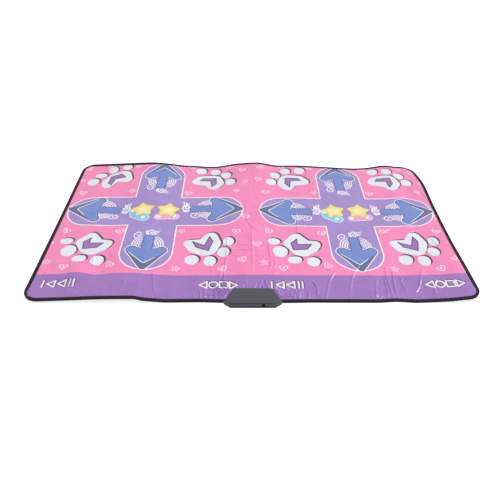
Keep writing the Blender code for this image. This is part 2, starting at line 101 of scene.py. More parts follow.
# How high the lower row of stitches stands, as a share of the thread's thickness, and its rings
LOW_STITCH = 0.39
THREAD_WIDE = 0.55
THREAD_TALL = 0.38
THREAD_SIDES = 6
STITCH_RINGS = [(-0.5, 0.35), (-0.3, 1.0), (0.3, 1.0), (0.5, 0.35)]

# The stage
SENSOR_WIDTH = 36.0
KEY_PLACE = (2.2, 1.1, 2.4)
KEY_SOFTNESS = 0.22
FILL_PLACE = (0.5, -0.9, 2.3)
FILL_SIZE = 1.4
FLOOR_HALF = 12.0
FLOOR_TONE = (0.80, 0.80, 0.80)
FLOOR_GLOW = 0.74


# How the mat lies: heights above the floor along its long edges, at these places in x
REAR_LIFT = [(-0.825, 0.006), (-0.792, 0.007), (-0.645, 0.0135), (-0.486, 0.0204),
             (-0.397, 0.0128), (-0.323, 0.003), (-0.187, 0.0), (-0.123, 0.005),
             (-0.078, 0.0136), (0.030, 0.022), (0.140, 0.005), (0.230, 0.005), (0.364, 0.0),
             (0.520, 0.0), (0.610, 0.001), (0.676, 0.007), (0.734, 0.002), (0.825, 0.0)]
NEAR_LIFT = [(-0.825, 0.008), (-0.777, 0.0085), (-0.677, 0.0125), (-0.535, 0.0196),
             (-0.427, 0.0205), (-0.391, 0.011), (-0.255, 0.0), (-0.15, 0.002), (0.0, 0.002),
             (0.15, 0.002), (0.440, 0.001), (0.500, 0.0), (0.580, 0.0), (0.638, 0.003),
             (0.708, 0.008), (0.787, 0.018), (0.825, 0.017)]
# How far the long edges are drawn inwards, and the right edge outwards
REAR_DRAW = [(-0.825, 0.0), (-0.30, 0.0), (-0.187, 0.007), (-0.10, 0.0), (0.30, 0.0),
             (0.364, 0.004), (0.520, 0.018), (0.570, 0.014), (0.650, 0.0), (0.734, 0.002),
             (0.798, 0.004), (0.825, 0.002)]
NEAR_DRAW = [(-0.825, 0.0), (-0.33, 0.0), (-0.255, 0.003), (0.0, 0.0), (0.44, 0.0),
             (0.515, 0.005), (0.60, 0.0), (0.825, 0.0)]
RIGHT_BULGE = [(-0.465, 0.0), (-0.33, 0.0), (-0.12, -0.004), (0.10, -0.002), (0.30, 0.004),
               (0.38, -0.005), (0.465, -0.020)]
EDGE_REACH = 0.14
MIDDLE_SAG = 0.45
# How far the rear edge curls up by itself, and over which distance
REAR_CURL = [(-0.825, 0.002), (-0.77, 0.005), (-0.62, 0.006), (-0.54, 0.006), (-0.47, 0.004),
             (-0.40, 0.0), (0.825, 0.0)]
CURL_REACH = 0.014
# Swellings and hollows between the edges: place, reach in x and y, height
SWELLINGS = [((-0.14, 0.09), (0.15, 0.16), 0.009), ((-0.575, -0.31), (0.035, 0.08), -0.009),
             ((-0.660, -0.32), (0.035, 0.07), 0.006), ((-0.46, -0.29), (0.06, 0.08), -0.005),
             ((-0.57, 0.06), (0.08, 0.12), -0.008)]

# Folds of the film: places along the crest in mm, half width and height in tenths of a mm
CREASES = [
    ([(-19, 210), (-21, 120), (-23, 48), (-16, -6), (2, -38), (20, -60), (29, -100)], 60, 24),
    ([(2, 10), (1, -150), (2, -330)], 80, 16),
    ([(-98, -70), (-101, -200), (-106, -320), (-108, -400)], 60, 22),
    ([(74, -60), (68, -150), (73, -260), (60, -330)], 60, 18),
    ([(86, -180), (88, -260), (78, -360)], 50, 14),
    ([(-100, -150), (60, -156)], 60, 12),
    ([(-60, -186), (60, -187)], 50, 18),
    ([(-110, -222), (80, -216)], 60, 12),
    ([(-170, -240), (-150, -330)], 50, 16),
    ([(-120, -260), (-126, -385)], 50, 16),
    ([(516, -270), (505, -350), (508, -462)], 65, 34),
    ([(540, -280), (526, -370), (521, -462)], 60, 30),
    ([(500, -320), (488, -460)], 55, 18),
    ([(662, -270), (640, -325), (622, -375), (606, -405), (578, -436)], 60, 17),
    ([(330, -290), (294, -348), (276, -402), (262, -460)], 65, 16),
    ([(360, -272), (318, -312)], 60, 10),
    ([(440, -240), (380, -330), (352, -440)], 70, 11),
    ([(470, -345), (452, -398), (446, -456)], 55, 18),
    ([(560, -332), (556, -380), (566, -420)], 55, 16),
    ([(700, -340), (672, -392), (660, -448)], 60, 15),
    ([(215, -350), (236, -396), (232, -450)], 55, 18),
    ([(-480, -345), (-470, -400), (-486, -455)], 60, 12),
    ([(540, -75), (580, -50), (640, -44)], 60, 16),
    ([(620, -110), (690, -52)], 60, 14),
    ([(760, -180), (735, -80)], 60, 16),
    ([(195, 130), (196, 0), (192, -90)], 50, 14),
    ([(222, 60), (224, -60)], 50, 10),
    ([(306, 262), (288, 205)], 60, 12),
    ([(735, 300), (772, 190)], 60, 16),
    ([(790, 290), (806, 150), (798, 20)], 60, 14),
    ([(-280, 275), (-300, 205)], 60, 14),
    ([(-190, 215), (-214, 182)], 60, 12),
    ([(-660, 250), (-694, 200)], 60, 14),
    ([(-776, -40), (-778, -150)], 60, 12),
    ([(-756, -50), (-752, -130)], 60, 12),
    ([(-772, -280), (-776, -390)], 60, 12),
    ([(-318, -40), (-320, -110)], 60, 12),
    ([(-620, -210), (-600, -330)], 70, 12),
    ([(-800, -272), (-640, -262)], 70, 10),
    ([(-380, -310), (-350, -450)], 70, 16),
    ([(-660, -330), (-668, -450)], 70, 14),
]
FOLD_GAIN = 2.0
TALLEST_FOLD = 0.0040
# Puckers that fan out from the box's sides, rise straight behind it and stand at the near hem
PUCKER_COUNT = 40
PUCKER_REACH = 0.090
SIDE_ROOT = 0.074
SIDE_ROOT_SPREAD = 0.024
SIDE_ROOT_DEPTH = 0.044
BACK_PUCKERS = 7
BACK_ROOT = 0.062
BACK_PITCH = 0.0205
HEM_PUCKERS = 6
HEM_ROOT = 0.114
HEM_PITCH = 0.0085
HEM_INSET = 0.008
CREST_SHARPNESS = 1.6
# Ripples of the film: how many, the share of their length that is height, and what is cut off below
RIPPLE_COUNT = 14
RIPPLE_SHARE = 0.0024
RIPPLE_FLOOR = 0.0026


def spline(places, at):
    """A smooth curve through (place, value) points, read at many places."""
    x, y = np.array(places).T
    step = np.diff(x)
    slope = np.diff(y) / step
    tangent = np.zeros(len(x))
    bend = slope[:-1] * slope[1:] > 0
    tangent[1:-1][bend] = 2 / (1 / slope[:-1][bend] + 1 / slope[1:][bend])
    at = np.clip(at, x[0], x[-1])
    i = np.clip(np.searchsorted(x, at, side="right") - 1, 0, len(x) - 2)
    t = (at - x[i]) / step[i]
    return (y[i] * (1 + 2 * t) * (1 - t) ** 2 + y[i + 1] * t * t * (3 - 2 * t)
            + step[i] * (tangent[i] * t * (1 - t) ** 2 - tangent[i + 1] * t * t * (1 - t)))


def unit(vectors):
    """The same directions, one long."""
    return vectors / np.linalg.norm(vectors, axis=1, keepdims=True)


def along_and_left(line):
    """Directions along a line of points, and to its left."""
    along = unit(np.gradient(line, axis=0))
    return along, np.stack([-along[:, 1], along[:, 0]], 1)


def read_line(at, marks, line):
    """Places on a line whose points stand at those marks."""
    return np.stack([np.interp(at, marks, line[:, k]) for k in (0, 1)], 1)


def eased(value, low, high):
    """0 below low, 1 above high and smooth between."""
    t = np.clip((value - low) / (high - low), 0.0, 1.0)
    return t * t * (3 - 2 * t)


def from_box(x, y):
    """Distance outwards from the control box's walls where the mat goes in."""
    corners = box_corners(COVER_HIGH.z, 0.0)
    away = []
    for start, end in zip(corners, corners[1:] + corners[:1]):
        out = (end - start).normalized()
        away.append((x - start.x) * out.y - (y - start.y) * out.x)
    return np.maximum.reduce(away)


def waves(x, y):
    """Height of the mat's underside above the floor."""
    share = np.clip((y - NEAR_Y) / (REAR_Y - NEAR_Y), 0.0, 1.0)
    curl = spline(REAR_CURL, x)
    height = spline(NEAR_LIFT, x) * (1 - share) + (spline(REAR_LIFT, x) - curl) * share
    height = height * (1 - MIDDLE_SAG * np.sin(np.pi * share))
    height = height + curl * np.exp(-np.maximum(REAR_Y - y, 0.0) / CURL_REACH)
    for (at_x, at_y), (reach_x, reach_y), rise in SWELLINGS:
        height = height + rise * np.exp(-((x - at_x) / reach_x) ** 2 - ((y - at_y) / reach_y) ** 2)
    height = np.maximum(height, 0.0) * eased(from_box(x, y), 0.004, 0.10)
    return bpy.context.scene.dance_mat.wave_share * height


@functools.cache
def fold_lines():
    """Every fold of the film: its crest, half width and height."""
    lines = [(curve_through(np.array(points) / 1000, 5), width / 10000, tall / 10000)
             for points, width, tall in CREASES]
    draw = np.random.default_rng(8)
    for i in range(PUCKER_COUNT):
        side = -1 if i % 2 else 1
        down = draw.uniform(0.0, 1.0)
        root = Vector((side * (SIDE_ROOT + SIDE_ROOT_SPREAD * down),
                       BOX_BACK_Y - SIDE_ROOT_DEPTH * down))
        angle = math.radians(draw.uniform(62, 100) - 78 * down)
        reach = PUCKER_REACH * draw.uniform(0.45, 1.1)
        tip = root + Vector((side * math.cos(angle), math.sin(angle))) * reach
        bend = (root + tip) / 2 + Vector((draw.uniform(-0.004, 0.004), 0.0))
        lines.append((curve_through([root, bend, tip], 5), draw.uniform(0.0034, 0.0056),
                      draw.uniform(0.0022, 0.0036)))
    for i in range(BACK_PUCKERS):
        root = (-BACK_ROOT + BACK_PITCH * i, BOX_BACK_Y)
        tip = (root[0] + draw.uniform(-0.025, 0.025), BOX_BACK_Y + draw.uniform(0.04, 0.09))
        lines.append((np.linspace(root, tip, 8), 0.0050, draw.uniform(0.0010, 0.0020)))
    for i in range(2 * HEM_PUCKERS):
        side = -1 if i % 2 else 1
        root = Vector((side * (HEM_ROOT + HEM_PITCH * i + draw.uniform(-0.007, 0.007)),
                       NEAR_Y + HEM_INSET))
        tip = root + Vector((side * draw.uniform(-0.006, 0.030), draw.uniform(0.022, 0.070)))
        lines.append((np.linspace(root, tip, 8), draw.uniform(0.0040, 0.0070),
                      draw.uniform(0.0012, 0.0026)))
    return lines


def fold_height(x, y, line, width, tall):
    """A fold with a sharp crest, fading out towards its ends."""
    height = np.zeros_like(x)
    low, high = line.min(0) - width, line.max(0) + width
    near = np.flatnonzero((x > low[0]) & (x < high[0]) & (y > low[1]) & (y < high[1]))
    best = np.full(len(near), width)
    along = np.zeros(len(near))
    for i, (start, end) in enumerate(zip(line, line[1:])):
        step = end - start
        beside_x, beside_y = x[near] - start[0], y[near] - start[1]
        t = np.clip((beside_x * step[0] + beside_y * step[1]) / (step @ step), 0.0, 1.0)
        gap = np.hypot(beside_x - t * step[0], beside_y - t * step[1])
        closer = gap < best
        best = np.where(closer, gap, best)
        along = np.where(closer, (i + t) / (len(line) - 1), along)
    fade = eased(along, 0.0, 0.22) * (1 - eased(along, 0.72, 1.0))
    height[near] = tall * (1 - best / width) ** CREST_SHARPNESS * fade
    return height


def fold_points(spacing):
    """Places along each fold's crest and flanks, for the mesh to follow."""
    rows = []
    for line, width, _ in fold_lines():
        count = int(np.linalg.norm(np.diff(line, axis=0), axis=1).sum() / spacing) + 2
        at = np.linspace(0, len(line) - 1, count)
        crest = read_line(at, np.arange(len(line)), line)
        side = along_and_left(crest)[1]
        rows += [crest + side * width * reach for reach in (-1.0, -0.4, 0.0, 0.4, 1.0)]
    return np.concatenate(rows)


def ripples(x, y):
    """Broad, very low unevenness of the loose top film."""
    draw = np.random.default_rng(3)
    height = np.zeros_like(x)
    for _ in range(RIPPLE_COUNT):
        angle = draw.uniform(0, math.pi)
        length = draw.uniform(0.05, 0.19)
        phase = draw.uniform(0, 2 * math.pi)
        along = x * math.cos(angle) + y * math.sin(angle)
        height += length * RIPPLE_SHARE * (1 + np.sin(2 * math.pi * along / length + phase))
    return np.maximum(height - RIPPLE_FLOOR, 0.0)


def film_folds(x, y):
    """What the top film adds over the layers beneath: folds and ripples."""
    folds = np.zeros_like(x)
    for line, width, tall in fold_lines():
        tall = min(tall * FOLD_GAIN, TALLEST_FOLD)
        folds = np.maximum(folds, fold_height(x, y, line, width, tall))
    from_edge = np.minimum.reduce([HALF_LENGTH - np.abs(x), y - NEAR_Y, REAR_Y - y])
    held = eased(from_edge, 0.010, 0.026) * eased(from_box(x, y), 0.0005, 0.012)
    return bpy.context.scene.dance_mat.fold_share * (ripples(x, y) + folds) * held


def laid(x, y, z, film=False):
    """Where points of the flat pattern lie on the floor."""
    height = z + waves(x, y)
    if film:
        height = height + film_folds(x, y)
    rear = eased(y, REAR_Y - EDGE_REACH, REAR_Y)
    near = 1 - eased(y, NEAR_Y, NEAR_Y + EDGE_REACH)
    right = eased(x, HALF_LENGTH - EDGE_REACH, HALF_LENGTH)
    moved_y = y - spline(REAR_DRAW, x) * rear + spline(NEAR_DRAW, x) * near
    moved_x = x + spline(RIGHT_BULGE, y) * right
    return np.stack([moved_x, moved_y, height], axis=1)


def laid_normals(x, y, film=False):
    """Which way the laid sheet faces."""
    step = 0.0015
    flat = np.zeros_like(x)
    ends = [laid(x + dx, y + dy, flat, film) for dx, dy in
            ((step, 0), (-step, 0), (0, step), (0, -step))]
    return unit(np.cross(ends[0] - ends[1], ends[2] - ends[3]))


# Shapes of the flat patterns

def arc_points(centre, radius, start, turn, steps):
    """Points along an arc."""
    angles = start + np.linspace(0.0, turn, steps + 1)
    return np.stack([centre[0] + radius * np.cos(angles), centre[1] + radius * np.sin(angles)], 1)


def rounded(corners, radius, steps=6):
    """A convex counterclockwise polygon with round corners."""
    corners = [Vector(corner) for corner in corners]
    outline = []
    for i, corner in enumerate(corners):
        back = (corners[i - 1] - corner).normalized()
        ahead = (corners[(i + 1) % len(corners)] - corner).normalized()
        half = back.angle(ahead) / 2
        centre = corner + (back + ahead).normalized() * radius / math.sin(half)
        start = corner + back * radius / math.tan(half) - centre
        outline.append(arc_points(centre, radius, math.atan2(start.y, start.x),
                                  math.pi - 2 * half, steps))
    return np.concatenate(outline)


def rectangle(low_x, high_x, low_y, high_y):
    """Corners of a rectangle, counterclockwise."""
    return np.array([(low_x, low_y), (high_x, low_y), (high_x, high_y), (low_x, high_y)])


def zone_plan(name, grow=0.0):
    """The outline of a step zone, or of the foam's window round it."""
    low, high = ZONES[name]
    return rounded(rectangle(low.x - grow, high.x + grow, low.y - grow, high.y + grow),
                   ZONE_CORNER + grow)


def mat_outline(distance, steps=14):
    """The mat's rounded outline, moved inwards by that distance."""
    x, near, rear = HALF_LENGTH - distance, NEAR_Y + distance, REAR_Y - distance
    return rounded(rectangle(-x, x, near, rear), MAT_CORNER - distance, steps)


def box_corners(height, distance):
    """The control box's plan at a height, counterclockwise, moved inwards by that distance."""
    share = height / BOX_HEIGHT
    left = [Vector((-a + (a - b) * share, c + (d - c) * share))
            for (a, c), (b, d) in zip(FLOOR_PLAN, ROOF_PLAN)]
    corners = left + [Vector((-point.x, point.y)) for point in reversed(left)]
    moved = []
    for i, corner in enumerate(corners):
        arriving = (corner - corners[i - 1]).normalized()
        leaving = (corners[(i + 1) % len(corners)] - corner).normalized()
        first = Vector((-arriving.y, arriving.x))
        second = Vector((-leaving.y, leaving.x))
        moved.append(corner + (first + second) * distance / (1 + first.dot(second)))
    return moved


def box_plan(height, distance):
    """The same corners as an array."""
    return np.array([corner[:] for corner in box_corners(height, distance)])


def hull(circles, grow=0.0, steps=22):
    """The outline round some (x, y, radius) circles, counterclockwise."""
    rims = [arc_points((x, y), max(radius + grow, 0.0003), 0.0, math.tau * (1 - 1 / steps),
                       steps - 1) for x, y, radius in circles]
    points = sorted(map(tuple, np.concatenate(rims)))

    def half(sequence):
        chain = []
        for point in sequence:
            while len(chain) > 1 and cross_of(chain[-2], chain[-1], point) <= 0:
                chain.pop()
            chain.append(point)
        return chain[:-1]

    return np.array(half(points) + half(points[::-1]))


def cross_of(a, b, c):
    """Twice the signed area of a triangle, or of many given as rows of x and of y."""
    return (b[0] - a[0]) * (c[1] - a[1]) - (b[1] - a[1]) * (c[0] - a[0])


def curve_through(points, steps=7):
    """A smooth line through a few points."""
    points = np.array(points, float)
    padded = np.concatenate([2 * points[:1] - points[1:2], points, 2 * points[-1:] - points[-2:-1]])
    line = []
    for p0, p1, p2, p3 in zip(padded, padded[1:], padded[2:], padded[3:]):
        for t in np.arange(steps) / steps:
            line.append(0.5 * (2 * p1 + (p2 - p0) * t + (2 * p0 - 5 * p1 + 4 * p2 - p3) * t * t
                               + (3 * p1 - p0 - 3 * p2 + p3) * t ** 3))
    return np.array(line + [points[-1]])


def stroke(points, width, taper=0.35):
    """A pen stroke along a smooth line, thinner at its ends."""
    line = curve_through(points)
    side = along_and_left(line)[1]
    share = np.linspace(0, 1, len(line))
    half = width / 2 * (taper + (1 - taper) * np.sin(np.pi * share) ** 0.5)
    return np.concatenate([line - side * half[:, None], (line + side * half[:, None])[::-1]])


def inside(points, outline):
    """Which points lie inside a closed outline."""
    low, high = outline.min(0), outline.max(0)
    near = np.flatnonzero(((points > low) & (points < high)).all(1))
    x, y = points[near].T
    within = np.zeros(len(near), bool)
    for (ax, ay), (bx, by) in zip(outline, np.roll(outline, -1, axis=0)):
        if ay != by:
            crossing = (ay > y) != (by > y)
            within ^= crossing & (x < (bx - ax) * (y - ay) / (by - ay) + ax)
    mask = np.zeros(len(points), bool)
    mask[near[within]] = True
    return mask


# The print

class Print:
    """Outlines in the order of printing, each with the name of its ink."""

    def __init__(self):
        self.outlines = []
        self.centre = (0.0, 0.0)
        self.turn = 0.0

    def place(self, centre, turn=0.0):
        """Draw from now on round that centre, turned by that angle."""
        self.centre = centre
        self.turn = turn

    def add(self, ink, outline):
        """Print one outline."""
        cos, sin = math.cos(self.turn), math.sin(self.turn)
        x, y = np.asarray(outline).T
        placed = np.stack([self.centre[0] + cos * x - sin * y, self.centre[1] + sin * x + cos * y], 1)
        self.outlines.append((ink, placed))

    def blob(self, ink, circles, grow=0.0):
        """Print a chain of circles, each joined to the next."""
        for pair in zip(circles, circles[1:]):
            self.add(ink, hull(pair, grow))


ARM_HALF = 0.1030
ARM_REACH = 0.3815
BAND_EDGE = -0.330
OUTLINE_WIDTH = 0.0050
# Points round a large circle and a small one
SMOOTH_STEPS = 72
SMALL_STEPS = 12

# One paw for each corner of a player's square, all from the middle of the cross: the pad as
# circles from lobe to lobe, the toes as ellipses and the corners of the angle mark
PAWS = {
    (-1, 1): (
        [(-0.168, 0.250, 0.024), (-0.190, 0.290, 0.034), (-0.226, 0.266, 0.036),
         (-0.258, 0.232, 0.026), (-0.2555, 0.206, 0.0255)],
        [(-0.3256, 0.2314, 0.0280, 0.0305), (-0.300, 0.288, 0.0280, 0.0190),
         (-0.250, 0.3355, 0.0230, 0.0285), (-0.1846, 0.3574, 0.0235, 0.0235)],
        [(-0.2487, 0.2755), (-0.2542, 0.2210), (-0.2365, 0.2046), (-0.2269, 0.2551),
         (-0.1792, 0.2660), (-0.2024, 0.2974)]),
    (1, 1): (
        [(0.166, 0.240, 0.025), (0.190, 0.262, 0.032), (0.236, 0.250, 0.048),
         (0.262, 0.225, 0.031), (0.247, 0.196, 0.027)],
        [(0.1795, 0.338, 0.0270, 0.0270), (0.250, 0.3315, 0.0245, 0.0270),
         (0.302, 0.293, 0.0245, 0.0270), (0.3226, 0.232, 0.0245, 0.0270)],
        [(0.1930, 0.2715), (0.1780, 0.2510), (0.2300, 0.2470), (0.2370, 0.1950),
         (0.2570, 0.2240), (0.2530, 0.2730)]),
    (-1, -1): (
        [(-0.236, -0.180, 0.024), (-0.256, -0.218, 0.034), (-0.217, -0.248, 0.050),
         (-0.185, -0.246, 0.034), (-0.164, -0.229, 0.023)],
        [(-0.3305, -0.2085, 0.0265, 0.0190), (-0.307, -0.270, 0.0300, 0.0340),
         (-0.253, -0.320, 0.0285, 0.0210), (-0.1805, -0.330, 0.0260, 0.0270)],
        [(-0.2610, -0.2167), (-0.2542, -0.2590), (-0.1983, -0.2549), (-0.1778, -0.2249),
         (-0.2365, -0.2235), (-0.2351, -0.1895)]),
    (1, -1): (
        [(0.166, -0.220, 0.023), (0.193, -0.243, 0.033), (0.235, -0.243, 0.051),
         (0.262, -0.218, 0.033), (0.254, -0.177, 0.026)],
        [(0.1835, -0.3176, 0.0280, 0.0280), (0.2545, -0.326, 0.0245, 0.0290),
         (0.306, -0.274, 0.0245, 0.0280), (0.325, -0.2085, 0.0225, 0.0265)],
        [(0.1780, -0.2070), (0.1945, -0.2410), (0.2460, -0.2660), (0.2610, -0.2060),
         (0.2460, -0.1770), (0.2285, -0.2345)]),
}
PAW_SHADOW = (0.0060, 0.0045)
MARK_EDGE = 0.0022

# Arrows to the right, rear, left and near, each as if it pointed along +x from the middle of the
# cross: where its tail starts and the lobe of a wing. Two of the left cross lie a little astray.
ARROWS = [(0.1705, (0.2545, 0.0660)), (0.1900, (0.2760, 0.0600)),
          (0.1705, (0.2550, 0.0660)), (0.1970, (0.2670, 0.0590))]
STRAYED_ARROWS = {(0, 0): (0.019, -0.03), (0, 2): (0.0, -0.04)}
SHAFT_HALF = 0.0195
WING_ROUND = 0.0200
BLUE_TIP = (0.3340, 0.0, 0.0125)
SLATE_TIP = (0.3725, 0.0, 0.0085)
ARROW_WHITE = 0.0068
ARROW_NAVY = 0.0030
# Symbols of the start and select zones: radius of the pen and half height
KEY_PEN = 0.0030
KEY_TALL = 0.0172

# Small motifs of the pink ground, from the middle of the cross
MOTIFS = [(-0.128, 0.152), (-0.352, 0.142), (-0.372, 0.352), (-0.130, 0.365), (-0.262, 0.370),
          (0.130, 0.142), (0.352, 0.152), (0.378, 0.330), (0.134, 0.372), (0.318, 0.366),
          (-0.126, -0.150), (-0.350, -0.140), (-0.374, -0.335), (-0.128, -0.352),
          (-0.300, -0.366), (0.128, -0.138), (0.356, -0.146), (0.382, -0.318),
          (0.126, -0.370), (0.306, -0.372), (-0.385, 0.245), (0.392, 0.225), (0.394, -0.045),
          (-0.398, -0.225)]


def draw_scrolls(sheet, tail, side):
    """Strands beside the shaft, a curl at one end of them and a crest behind the tail."""
    for flank in (-1, 1):
        for i in range(4):
            reach, rise = 0.0640 - 0.0110 * i, 0.0440 - 0.0098 * i
            plume = [(0.246 - reach * math.sin(turn), 0.0200 + rise * math.cos(turn))
                     for turn in (0.0, 0.5, 1.0, 1.45)]
            sheet.add("scroll", stroke([(x, flank * y) for x, y in plume], 0.0054, 0.6))
    curl = [(0.203, -0.047), (0.190, -0.059), (0.174, -0.062), (0.161, -0.054), (0.160, -0.041),
            (0.170, -0.034), (0.180, -0.040), (0.178, -0.050), (0.171, -0.049)]
    crest = [[(0.002, -0.004), (-0.020, -0.010), (-0.034, 0.004), (-0.030, 0.030), (-0.036, 0.056)],
             [(0.002, 0.004), (-0.014, 0.003), (-0.023, 0.014), (-0.019, 0.036), (-0.026, 0.050)],
             [(0.004, 0.013), (-0.007, 0.013), (-0.013, 0.024), (-0.009, 0.042)],
             [(0.000, -0.010), (-0.018, -0.019), (-0.033, -0.015)]]
    if tail > 0.18:
        crest = [[(x, 0.75 * y) for x, y in strand] for strand in crest]
    sheet.add("scroll", stroke([(x, side * y) for x, y in curl], 0.0052, 0.5))
    for strand in crest:
        placed = [(tail - SHAFT_HALF + x, side * y) for x, y in strand]
        sheet.add("scroll", stroke(placed, 0.0058 if tail > 0.18 else 0.0078))


def draw_arrow(sheet, tail, wing):
    """A bold arrow over a darker wedge, with a pale rim and a pale line on its front edges."""
    shaft = [(tail, 0.0, SHAFT_HALF), (0.300, 0.0, SHAFT_HALF)]
    wings, wedges = [], []
    for flank in (-1, 1):
        lobe = (wing[0], flank * wing[1], WING_ROUND)
        wings.append([lobe, BLUE_TIP])
        wedges.append([lobe, SLATE_TIP, (0.320, 0.0, 0.010)])

    def back(grow):
        rear = (wing[0] - 0.0130 - grow, wing[1] - 0.0080)
        return np.array([rear, (rear[0] + 0.009, 0.015), (rear[0] + 0.009, -0.015),
                         (rear[0], -rear[1]), (0.334, 0.0)])

    for grow, ink in ((ARROW_WHITE, "rim"), (ARROW_NAVY, "navy")):
        for circles in wings + wedges + [shaft] * (ink == "navy"):
            sheet.add(ink, hull(circles, grow))
        sheet.add(ink, back(grow))
    for circles in wedges:
        sheet.add("slate", hull(circles, 0.0012))
    for circles in wings:
        sheet.add("navy", hull(circles, 0.0014))
    for circles in wings + [shaft]:
        sheet.add("blue", hull(circles))
    sheet.add("blue", back(0.0))
    ahead = (Vector(BLUE_TIP[:2]) - Vector(wing)).normalized()
    beside = Vector((-ahead.y, ahead.x))
    low = Vector(wing) + beside * (WING_ROUND - 0.003)
    high = Vector(BLUE_TIP[:2]) + beside * (BLUE_TIP[2] - 0.003)
    line = [low.lerp(high, t) for t in (0.05, 0.35, 0.7, 1.0)]
    short = [low.lerp(high, t) for t in (1.0, 0.75, 0.5)]
    tip = (BLUE_TIP[0] + BLUE_TIP[2] - 0.003, 0.0)
    gleam = [(p.x, -p.y) for p in line] + [tip] + [(p.x, p.y) for p in short]
    sheet.add("rim", stroke(gleam, 0.0036, 0.5))


def draw_cross(sheet, centre, number):
    """The rounded cross with an arrow on each arm."""
    arms = [[(-ARM_REACH + ARM_HALF, 0.0, ARM_HALF), (ARM_REACH - ARM_HALF, 0.0, ARM_HALF)],
            [(0.0, -ARM_REACH + ARM_HALF, ARM_HALF), (0.0, ARM_REACH - ARM_HALF, ARM_HALF)]]
    sheet.place(centre)
    for ink, grow in (("rim", OUTLINE_WIDTH / 2), ("lavender", -OUTLINE_WIDTH / 2)):
        for circles in arms:
            sheet.add(ink, hull(circles, grow, SMOOTH_STEPS))
    for quarter, (tail, wing) in enumerate(ARROWS):
        across, turn = STRAYED_ARROWS.get((number, quarter), (0.0, 0.0))
        sheet.place((centre[0], centre[1] + across), quarter * math.pi / 2 + turn)
        draw_scrolls(sheet, tail, 1 if quarter in (0, 3) else -1)
        draw_arrow(sheet, tail, wing)


def ellipse(x, y, wide, deep):
    """The outline of an ellipse."""
    angles = np.linspace(0.0, math.tau, 29)[:-1]
    return np.stack([x + wide * np.cos(angles), y + deep * np.sin(angles)], 1)


def mirrored(paw):
    """The same paw on the other side of a cross."""
    return [[(-place[0], *place[1:]) for place in part] for part in paw]


def draw_paw(sheet, centre, paw):
    """A paw print: its pad, its toes and an angle mark."""
    pad, toes, mark = paw
    dx, dy = PAW_SHADOW
    for ink, shift, grow in (("shadow", 1.0, 0.0014), ("paw", 0.0, 0.0)):
        sheet.place((centre[0] + dx * shift, centre[1] + dy * shift))
        for lobes in (pad[:3], pad[1:4], pad[2:]):
            sheet.add(ink, hull(lobes, grow))
        for x, y, wide, deep in toes:
            sheet.add(ink, ellipse(x, y, wide + grow, deep + grow))
    sheet.place(centre)
    sheet.add("violet", mark)
    for start, end in zip(mark, mark[1:] + mark[:1]):
        sheet.add("mark_edge", hull([(*start, MARK_EDGE), (*end, MARK_EDGE)], 0.0, SMALL_STEPS))


def star_outline(radius, depth=0.55):
    """A star with five blunt points."""
    corners = []
    for i in range(10):
        reach = radius if i % 2 == 0 else radius * depth
        angle = math.pi / 2 + i * math.pi / 5
        corners.append((reach * math.cos(angle), reach * math.sin(angle)))
    return curve_through(corners + corners[:1], 3)[:-1]


def heart_outline(radius):
    """A plain heart."""
    angles = np.linspace(0.0, math.tau, 29)[:-1]
    x = 16 * np.sin(angles) ** 3
    y = 13 * np.cos(angles) - 5 * np.cos(2 * angles) - 2 * np.cos(3 * angles) - np.cos(4 * angles)
    return np.stack([x, y], 1)[::-1] * radius / 16


def draw_centre(sheet, centre):
    """Two stars on soft puffs in the middle of the cross."""
    puffs = {"puff_blue": [(-0.040, -0.006, 0.017), (-0.028, -0.034, 0.022), (0.010, -0.056, 0.022)],
             "puff_pink": [(-0.034, -0.050, 0.017), (-0.002, -0.040, 0.022), (0.034, -0.042, 0.018)]}
    for x, ink in ((-0.055, "puff_blue"), (0.054, "puff_pink")):
        sheet.place((centre[0] + x, centre[1] + 0.003))
        sheet.blob("rim", puffs[ink], 0.003)
        sheet.blob(ink, puffs[ink])
        for end in (puffs[ink][0], puffs[ink][2]):
            sheet.add("rim", hull([(end[0] - 0.002, end[1] + 0.002, 0.010)]))
        sheet.place((centre[0] + x, centre[1] + 0.007), 0.16 if x < 0 else -0.12)
        sheet.add("star_edge", star_outline(0.0545, 0.66))
        sheet.add("star", star_outline(0.0510, 0.66))
        sheet.add("star_light", star_outline(0.0280, 0.66))


def draw_motifs(sheet, centre):
    """Small hearts and stars in pale outline on the pink ground."""
    for i, (x, y) in enumerate(MOTIFS):
        sheet.place((centre[0] + x, centre[1] + y), math.radians(37 * i % 80 - 40))
        shape = heart_outline if i % 3 else star_outline
        sheet.add("pale", shape(0.0185))
        sheet.add("pink", shape(0.0132))
        sheet.add("pale", shape(0.0055))


def draw_keys(sheet):
    """Plain symbols on the start and select zones, drawn in lines."""
    pen, tall = KEY_PEN, KEY_TALL
    bar = [(0.0, tall), (0.0, -tall)]
    triangle = [(0.0, tall), (0.0, -tall), (0.028, 0.0), (0.0, tall)]
    square = [(-0.015, -0.015), (0.015, -0.015), (0.015, 0.015), (-0.015, 0.015), (-0.015, -0.015)]
    circle = [tuple(p) for p in arc_points((0.0, 0.0), 0.0165, 0.0, math.tau, 16)]
    start = [(0.030, -1, triangle), (-0.010, -1, triangle), (0.046, 1, bar), (0.060, 1, bar),
             (-0.054, 1, bar)]
    select = [(0.040, 1, triangle), (0.018, 1, square), (-0.020, 1, circle), (-0.044, -1, triangle)]
    for name, (low, high) in ZONES.items():
        middle = (low + high) / 2
        shapes = start if "start" in name else select if "select" in name else []
        for ink, shift, grow in (("shadow", 0.0030, 0.0008), ("symbol", 0.0, 0.0)):
            sheet.place((middle.x + shift, middle.y + shift))
            for x, turn, points in shapes:
                for a, b in zip(points, points[1:]):
                    sheet.add(ink, hull([(x + turn * a[0], a[1], pen), (x + turn * b[0], b[1], pen)],
                                        grow, SMALL_STEPS))


